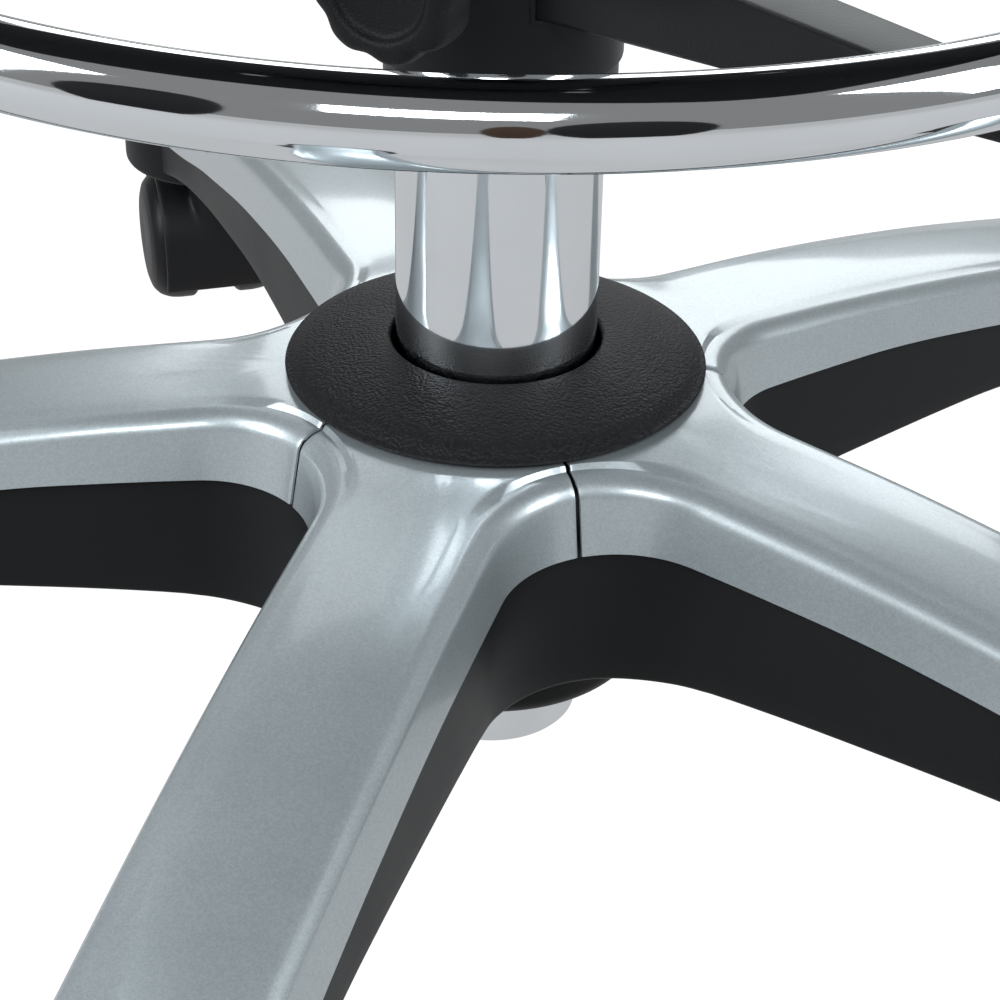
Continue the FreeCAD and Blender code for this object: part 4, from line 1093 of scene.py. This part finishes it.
def with_shaft(data, name, matrix, profile, steps, shaft_matrix):
    """A knob's mesh in its place, with a turned shaft, in an object at the origin."""
    mesh = bmesh.new()
    mesh.from_mesh(data)
    bmesh.ops.transform(mesh, matrix=matrix, verts=mesh.verts)
    lathe(mesh, profile, steps, shaft_matrix)
    return to_object(to_mesh(mesh, name, merge=0), name)


class CHAIR_OT_knobs(bpy.types.Operator):
    """The clamp's knob, the tension knob and the back's knob."""
    bl_idname = "chair.knobs"
    bl_label = "Hand knobs"

    def execute(self, context):
        lobes = context.scene.chair_sizes.knob_lobes
        low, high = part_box("clamp_knob")
        middle = (low + high) / 2
        way = middle.to_2d().normalized()
        turn = Vector((0, 0, 1)).rotation_difference(Vector((way.x, way.y, 0))).to_matrix().to_4x4()
        centre = Vector((0, 0, middle.z))
        start = middle.to_2d().length - 0.008
        place = Matrix.Translation(centre + Vector((way.x, way.y, 0)) * start) @ turn
        radius = (high.z - low.z) / 2
        data = knob_mesh(radius, 0.016, lobes, neck=0.002, hollow=0.0022)
        piece(placed_mesh(data, "clamp_hand_knob", place), "clamp_grip", "knob_plastic",
              "clamp_knob")
        low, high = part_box("tension_knob")
        radius = (high.x - low.x) / 2
        centre = (low + high) / 2
        deep = 0.024
        data = knob_mesh(radius, deep, lobes, hollow=0.002)
        flip = (Matrix.Translation((centre.x, centre.y, low.z + deep))
                @ Matrix.Rotation(math.pi, 4, "X"))
        shaft = rounded_profile([(0, 0.023), (radius * 0.6, 0.023), (radius * 0.6, 0.0365),
                                 (0.004, 0.0365), (0.004, high.z - low.z), (0, high.z - low.z)],
                                0.0012, 3)
        knob = with_shaft(data, "tension_hand_knob", flip, shaft, 64,
                          Matrix.Translation((centre.x, centre.y, low.z)))
        piece(knob, "tension", "knob_plastic", "tension_knob")
        low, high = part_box("back_knob")
        radius = (high.x - low.x) / 2
        centre = (low + high) / 2
        deep = 0.026
        turn = Matrix.Rotation(math.radians(-90), 4, "X")
        place = Matrix.Translation((centre.x, high.y - deep, centre.z)) @ turn
        shaft = [(0, 0), (0.004, 0), (0.004, 0.022), (0, 0.022)]
        data = knob_mesh(radius, deep, lobes, neck=0.004, hollow=0.002)
        knob = with_shaft(data, "back_hand_knob", place, shaft, 48,
                          Matrix.Translation((centre.x, low.y, centre.z)) @ turn)
        piece(knob, "back_grip", "knob_plastic", "back_knob")
        return {"FINISHED"}


# ---- casters -------------------------------------------------------------------------------------

TRAIL = 0.020
WHEEL_INSET = 0.0073


def joint(name):
    return next(j for j in frame["joints"] if j["name"] == name)


def caster_place(k):
    """Where a caster stands: its stem's foot, turned so that +X is its trail."""
    stem = Vector(joint(f"caster_swivel_{k}")["pos_m"])
    wheel = Vector(joint(f"wheel_left_spin_{k}")["pos_m"])
    trail = (wheel - stem).to_2d()
    turn = math.atan2(trail.y, trail.x)
    return Matrix.Translation((stem.x, stem.y, 0)) @ Matrix.Rotation(turn, 4, "Z"), wheel.z


def softened(node, matrix, voxel, smooth, faces):
    """A CAD node's solid, remeshed so that its edges are soft, in the given place's own frame."""
    mesh = bmesh.new()
    mesh.from_mesh(frame["nodes"][node].data)
    bmesh.ops.remove_doubles(mesh, verts=mesh.verts, dist=1e-6)
    bmesh.ops.transform(mesh, matrix=matrix.inverted(), verts=mesh.verts)
    thing = skin_object(mesh, node + "_soft")
    remesh = thing.modifiers.new("cells", "REMESH")
    remesh.mode = "VOXEL"
    remesh.voxel_size = voxel
    even = thing.modifiers.new("soften", "SMOOTH")
    even.factor = 0.5
    even.iterations = smooth
    thin = thing.modifiers.new("thin", "DECIMATE")
    thin.ratio = faces
    return baked(thing, node + "_soft", None)


class CHAIR_OT_casters(bpy.types.Operator):
    """Five twin-wheel casters: soft-edged hoods and wheels with full, rounded faces."""
    bl_idname = "chair.casters"
    bl_label = "Casters"

    def execute(self, context):
        hood = softened("caster_hood_1", caster_place(1)[0], voxel=0.0009, smooth=7, faces=0.35)
        hood_data = hood.data.copy()
        bpy.data.objects.remove(hood)
        wheel_data = self.wheel()
        for k in range(1, ARMS + 1):
            place, height = caster_place(k)
            piece(placed_mesh(hood_data, f"caster_cap_{k}", place), f"caster_{k}", "caster_nylon",
                  f"caster_hood_{k}")
            for side, sign in (("left", 1), ("right", -1)):
                turn = Matrix.Rotation(math.radians(-90 * sign), 4, "X")
                axle = Matrix.Translation((TRAIL, sign * WHEEL_INSET, height)) @ turn
                wheel = placed_mesh(wheel_data, f"wheel_{side}_disc_{k}", place @ axle)
                piece(wheel, f"wheel_{side}_{k}", "wheel_nylon", f"caster_wheel_{side}_{k}")
        return {"FINISHED"}

    def wheel(self):
        """A wheel along +Z: its inner face at zero and a full outer face at the far end."""
        outline = [(0.0, 0.0165), (0.0032, 0.0165), (0.0032, 0.0016), (0.0075, 0.0016),
                   (0.0075, 0.0004), (0.0105, 0.0004), (0.0105, 0.0026), (0.0195, 0.0026),
                   (0.0205, 0.0003), (0.0238, 0.0003), (0.0250, 0.0017), (0.0250, 0.0070),
                   (0.0246, 0.0105), (0.0232, 0.0140), (0.0205, 0.0165), (0.0165, 0.0177),
                   (0.0100, 0.0180), (0.0045, 0.0178), (0.0, 0.0177)]
        mesh = bmesh.new()
        lathe(mesh, rounded_profile(outline, 0.0012, 3), 96)
        return to_mesh(mesh, "wheel_disc")


# ---- cushions ------------------------------------------------------------------------------------

CLOTH_FRAMES = 20


def slab_outline(half_x, half_y, corner, steps=10):
    """Points round a rectangle with rounded corners, centred on zero."""
    points = []
    for cx, cy, first in ((half_x - corner, half_y - corner, 0),
                          (corner - half_x, half_y - corner, 90),
                          (corner - half_x, corner - half_y, 180),
                          (half_x - corner, corner - half_y, 270)):
        for k in range(steps + 1):
            angle = math.radians(first + 90 * k / steps)
            points.append(Vector((cx + corner * math.cos(angle), cy + corner * math.sin(angle))))
    return points


def cushion_start(name, half_x, half_y, thick, corner, dome, waist):
    """A closed cushion before it is filled: flat below, crowned above and sides pulled in."""
    mesh = bmesh.new()
    outline = slab_outline(half_x, half_y, corner)
    levels = [(0.94, 0.0, 0.0), (0.985, 0.0, 0.06), (1.0, 0.0, 0.28), (1.0, 0.0, 0.62),
              (0.985, 0.0, 0.84), (0.95, 0.0, 0.96), (0.88, 0.14, 1.0), (0.72, 0.42, 1.0),
              (0.5, 0.7, 1.0), (0.25, 0.93, 1.0)]
    rings = []
    for scale, crown, rise in levels:
        ring = []
        for p in outline:
            pull = waist * (1 - abs(p.x) / half_x) * (rise > 0.1) * (crown < 0.3)
            pull += waist * (1 - abs(p.y) / half_y) * (rise > 0.1) * (crown < 0.3)
            inward = p * (scale - pull / max(half_x, half_y))
            ring.append(mesh.verts.new((inward.x, inward.y, thick * rise * (1 - dome) +
                                        thick * dome * (0.35 * (rise >= 0.96) + 0.65 * crown))))
        rings.append(ring)
    for one, two in zip(rings, rings[1:]):
        for i in range(len(one)):
            j = (i + 1) % len(one)
            mesh.faces.new((one[i], one[j], two[j], two[i]))
    mesh.faces.new(rings[0][::-1])
    mesh.faces.new(rings[-1])
    data = to_mesh(mesh, name, sharp=None)
    return to_object(data, name)


def filled(thing, name, s, low, high):
    """Remesh a cushion, fill it by cloth simulation and keep it inside its room."""
    remesh = thing.modifiers.new("cells", "REMESH")
    remesh.mode = "VOXEL"
    remesh.voxel_size = s.voxel
    thing = baked(thing, name, None)
    rest = [v.co.copy() for v in thing.data.vertices]
    bottom = min(v.z for v in rest)
    held = thing.vertex_groups.new(name="held")
    held.add([i for i, v in enumerate(rest) if v.z < bottom + s.voxel * 1.2], 1.0, "REPLACE")
    cloth = thing.modifiers.new("filling", "CLOTH")
    cloth.settings.quality = 6
    cloth.settings.mass = 0.3
    cloth.settings.tension_stiffness = 30
    cloth.settings.compression_stiffness = 30
    cloth.settings.shear_stiffness = 12
    cloth.settings.bending_stiffness = 3
    cloth.settings.use_pressure = True
    cloth.settings.uniform_pressure_force = 1.3
    cloth.settings.vertex_group_mass = "held"
    cloth.settings.effector_weights.gravity = 0
    cloth.collision_settings.use_collision = False
    scene = bpy.context.scene
    for step in range(1, CLOTH_FRAMES + 1):
        scene.frame_set(step)
    thing = baked(thing, name, None)
    scene.frame_set(1)
    for vert, before in zip(thing.data.vertices, rest):
        move = vert.co - before
        if move.length > s.cushion_cap:
            vert.co = before + move.normalized() * s.cushion_cap
        vert.co = Vector(min(max(vert.co[i], low[i]), high[i]) for i in range(3))
    thing.vertex_groups.clear()
    finer = thing.modifiers.new("finer", "SUBSURF")
    finer.levels = 1
    finer.render_levels = 1
    return baked(thing, name, None)


def surface_line(thing, outline, level, lift):
    """Points on a cushion's side at one level, found by looking in from outside."""
    tree = BVHTree.FromObject(thing, bpy.context.evaluated_depsgraph_get())
    points = []
    for p in outline:
        way = Vector((-p.x, -p.y, 0)).normalized()
        origin = Vector((p.x, p.y, level)) - way * 0.1
        hit = tree.ray_cast(origin, way)
        if hit[0] is None:
            raise RuntimeError(f"{thing.name}: no cloth at a seam's level")
        points.append(hit[0] - way * lift)
    return points


def cushion(names, body, node, room, place, shape, s):
    """A filled cushion with a welt and a row of stitches, put in its place."""
    name, welt_name, stitch_name = names
    half_x, half_y, thick, corner, levels = shape
    thing = cushion_start(name, half_x, half_y, thick, corner, dome=0.2, waist=0.0015)
    thing = filled(thing, name, s, *room)
    fine = slab_outline(half_x, half_y, corner, 24)
    long = []
    for a, b in zip(fine, fine[1:] + fine[:1]):
        count = max(1, int((b - a).length / 0.006))
        long += [a.lerp(b, i / count) for i in range(count)]
    lines = []
    for level, lift in levels:
        lines.append(surface_line(thing, long, level, lift))
    welt = line_object([place @ p for p in lines[0]], welt_name)
    tree, ids = welt_tree()
    welt = run_tree(welt, tree, {ids["Radius"]: s.welt_radius,
                                 ids["Material"]: finish("black_fabric")}, welt_name, None)
    tree, ids = stitch_tree()
    row = line_object([place @ p for p in lines[1]], stitch_name)
    row = run_tree(row, tree, {ids["Spacing"]: s.stitch_gap,
                               ids["Material"]: finish("black_fabric")}, stitch_name, None)
    thing.data.transform(place)
    piece(thing, body, "black_fabric", node)
    for trim in (welt, row):
        piece(trim, body, "black_fabric")


class CHAIR_OT_seat_cushion(bpy.types.Operator):
    """The seat cushion: black cloth over foam, filled by cloth simulation."""
    bl_idname = "chair.seat_cushion"
    bl_label = "Seat cushion"

    def execute(self, context):
        s = context.scene.chair_sizes
        low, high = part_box("seat_cushion")
        centre = (low + high) / 2
        half = (high - low) / 2
        thick = high.z - low.z
        place = Matrix.Translation((centre.x, centre.y, low.z))
        room = ((-half.x - 0.004, -half.y - 0.004, 0.0), (half.x + 0.004, half.y + 0.004,
                                                          thick + 0.008))
        shape = (half.x - 0.007, half.y - 0.007, thick - 0.006, 0.068,
                 ((thick * 0.70, 0.0006), (thick * 0.60, 0.0)))
        cushion(("seat_pad", "seat_welt", "seat_stitches"), "seat", "seat_cushion", room, place,
                shape, s)
        return {"FINISHED"}


class CHAIR_OT_back_cushion(bpy.types.Operator):
    """The back cushion: black cloth over foam, filled by cloth simulation."""
    bl_idname = "chair.back_cushion"
    bl_label = "Back cushion"

    def execute(self, context):
        s = context.scene.chair_sizes
        low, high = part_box("back_cushion")
        centre = (low + high) / 2
        half = (high - low) / 2
        thick = high.y - low.y
        upright = Matrix.Rotation(math.radians(90), 4, "X")
        place = Matrix.Translation((centre.x, high.y, centre.z)) @ upright
        room = ((-half.x - 0.004, -half.z - 0.004, 0.0),
                (half.x + 0.004, half.z + 0.004, thick + 0.006))
        shape = (half.x - 0.006, half.z - 0.006, thick - 0.005, 0.072,
                 ((thick * 0.68, 0.0006), (thick * 0.56, 0.0)))
        cushion(("back_pad", "back_welt", "back_stitches"), "back", "back_cushion", room, place,
                shape, s)
        return {"FINISHED"}


# ---- finishes of the other nodes -----------------------------------------------------------------

SLOT_OF = {entry["node"]: entry["material_slot"] for entry in frame["record"]["subparts"]}


class CHAIR_OT_finishes(bpy.types.Operator):
    """The finishes of the steel, plastic and wooden parts that keep their CAD shape."""
    bl_idname = "chair.finishes"
    bl_label = "Finishes"

    def execute(self, context):
        for name, thing in frame["nodes"].items():
            if not thing.material_slots:
                thing.data.materials.append(None)
            for holder in thing.material_slots:
                holder.material = finish(SLOT_OF[name])
        return {"FINISHED"}


# ---- stage ---------------------------------------------------------------------------------------

def area_light(name, place, target, size, size_y, power, tint=(1.0, 1.0, 1.0)):
    data = bpy.data.lights.new(name, "AREA")
    data.shape = "RECTANGLE"
    data.size = size
    data.size_y = size_y
    data.energy = power
    data.color = tint
    light = bpy.data.objects.new(name, data)
    bpy.context.scene.collection.objects.link(light)
    light.location = place
    light.rotation_euler = (Vector(target) - Vector(place)).to_track_quat("-Z", "Y").to_euler()
    return light


def card(name, place, target, width, height, tone):
    """A plain oval board out of view, which the chrome reflects."""
    mesh = bmesh.new()
    turn = (Vector(target) - Vector(place)).to_track_quat("Z", "Y").to_matrix().to_4x4()
    lathe(mesh, [(0.0, -0.002), (0.5, -0.002), (0.5, 0.002), (0.0, 0.002)], 64,
          Matrix.Translation(place) @ turn @ Matrix.Diagonal((width, height, 1.0, 1.0)))
    board = to_object(to_mesh(mesh, name), name)
    board.data.materials.append(start_material(name, tone, 0.9)[0])
    board.visible_camera = False
    board.visible_shadow = False
    board.visible_diffuse = False
    return board


class CHAIR_OT_stage(bpy.types.Operator):
    """A pale floor, soft studio light and the camera."""
    bl_idname = "chair.stage"
    bl_label = "Stage"

    def execute(self, context):
        scene = context.scene
        tone = tuple(scene.chair_colours.floor)
        mesh = bmesh.new()
        box(mesh, (-30, -30, -0.02), (30, 30, 0.0))
        floor = to_object(to_mesh(mesh, "studio_floor"), "studio_floor")
        material, tree, shader, _ = start_material("studio_floor", tone, 0.85, specular=0.1)
        shader.inputs["Emission Color"].default_value = (1.0, 1.0, 1.0, 1.0)
        self.brighter_to_view(tree, shader.inputs["Emission Strength"], 1.0, 0.02, 0.48)
        floor.data.materials.append(material)
        world = bpy.data.worlds.new("studio")
        world.use_nodes = True
        world.node_tree.nodes["Background"].inputs["Color"].default_value = (1.0, 1.0, 1.0, 1.0)
        air = Tree(world.node_tree)
        sky = world.node_tree.nodes["Background"]
        self.brighter_to_view(air, sky.inputs["Strength"], 1.0, 0.22, 0.24)
        scene.world = world
        scene.view_settings.view_transform = "Standard"
        hub = (0.0, 0.0, 0.12)
        cool = (0.93, 0.98, 1.0)
        area_light("left_box", (-1.3, -0.9, 1.0), hub, 0.7, 1.1, 22, cool)
        area_light("right_box", (1.5, -0.2, 1.1), hub, 0.6, 1.2, 17, cool)
        area_light("front_box", (0.25, -1.6, 1.5), hub, 0.9, 0.5, 18, cool)
        area_light("rear_box", (-0.3, 1.7, 0.9), hub, 1.4, 0.7, 8, cool)
        area_light("top_box", (-0.35, 0.75, 1.25), hub, 0.5, 0.9, 1.2, cool)
        black = (0.012, 0.012, 0.013)
        card("dark_card_left", (-0.78, -1.6, 0.55), hub, 0.66, 1.4, black)
        card("dark_card_right", (1.0, -1.62, 0.5), hub, 0.66, 1.2, black)
        card("dark_card_far", (-1.9, 0.2, 0.5), hub, 0.5, 1.2, black)
        card("warm_card", (0.62, -1.9, 0.42), hub, 0.26, 0.9, (0.09, 0.05, 0.03))
        self.camera(scene)
        return {"FINISHED"}

    def brighter_to_view(self, tree, target, seen, lit, mirrored):
        """A white sweep that the camera sees brightest, mirrors less and matt surfaces least."""
        path = tree.add("ShaderNodeLightPath")
        view = tree.maths("MULTIPLY_ADD", path.outputs["Is Camera Ray"], seen - lit, lit)
        both = tree.maths("MULTIPLY_ADD", path.outputs["Is Glossy Ray"], mirrored - lit, view)
        tree.join(both, target)

    def camera(self, scene):
        data = bpy.data.cameras.new("view")
        data.sensor_width = 36.0
        data.lens = 87.39
        data.clip_start = 0.01
        data.clip_end = 100.0
        camera = bpy.data.objects.new("view", data)
        scene.collection.objects.link(camera)
        heading, tilt, roll = math.radians(16.317), math.radians(57.796), math.radians(1.07747)
        turn = (Matrix.Rotation(heading, 4, "Z") @ Matrix.Rotation(tilt, 4, "X")
                @ Matrix.Rotation(roll, 4, "Z"))
        camera.matrix_world = Matrix.Translation((0.1514, -0.5110, 0.4405)) @ turn
        scene.camera = camera


# ---- add-on --------------------------------------------------------------------------------------

PIECES = (CHAIR_OT_base_star, CHAIR_OT_covers, CHAIR_OT_collar, CHAIR_OT_column,
          CHAIR_OT_foot_ring, CHAIR_OT_knobs, CHAIR_OT_casters, CHAIR_OT_seat_cushion,
          CHAIR_OT_back_cushion, CHAIR_OT_finishes, CHAIR_OT_stage)


class CHAIR_PT_panel(bpy.types.Panel):
    """The chair's sizes, colours and pieces."""
    bl_idname = "CHAIR_PT_panel"
    bl_label = "Drafting Chair"
    bl_space_type = "VIEW_3D"
    bl_region_type = "UI"
    bl_category = "Drafting Chair"

    def draw(self, context):
        layout = self.layout
        for group in (context.scene.chair_sizes, context.scene.chair_colours):
            column = layout.column()
            for name in group.bl_rna.properties.keys():
                if name not in ("rna_type", "name"):
                    column.prop(group, name)
        for operator in PIECES:
            layout.operator(operator.bl_idname)


CLASSES = (ChairSizes, ChairColours) + PIECES + (CHAIR_PT_panel,)


def register():
    for kind in CLASSES:
        bpy.utils.register_class(kind)
    bpy.types.Scene.chair_sizes = PointerProperty(type=ChairSizes)
    bpy.types.Scene.chair_colours = PointerProperty(type=ChairColours)


def unregister():
    del bpy.types.Scene.chair_colours
    del bpy.types.Scene.chair_sizes
    for kind in reversed(CLASSES):
        bpy.utils.unregister_class(kind)


def main():
    register()
    for operator in PIECES:
        group, name = operator.bl_idname.split(".")
        getattr(getattr(bpy.ops, group), name)()


if __name__ == "__main__":
    main()
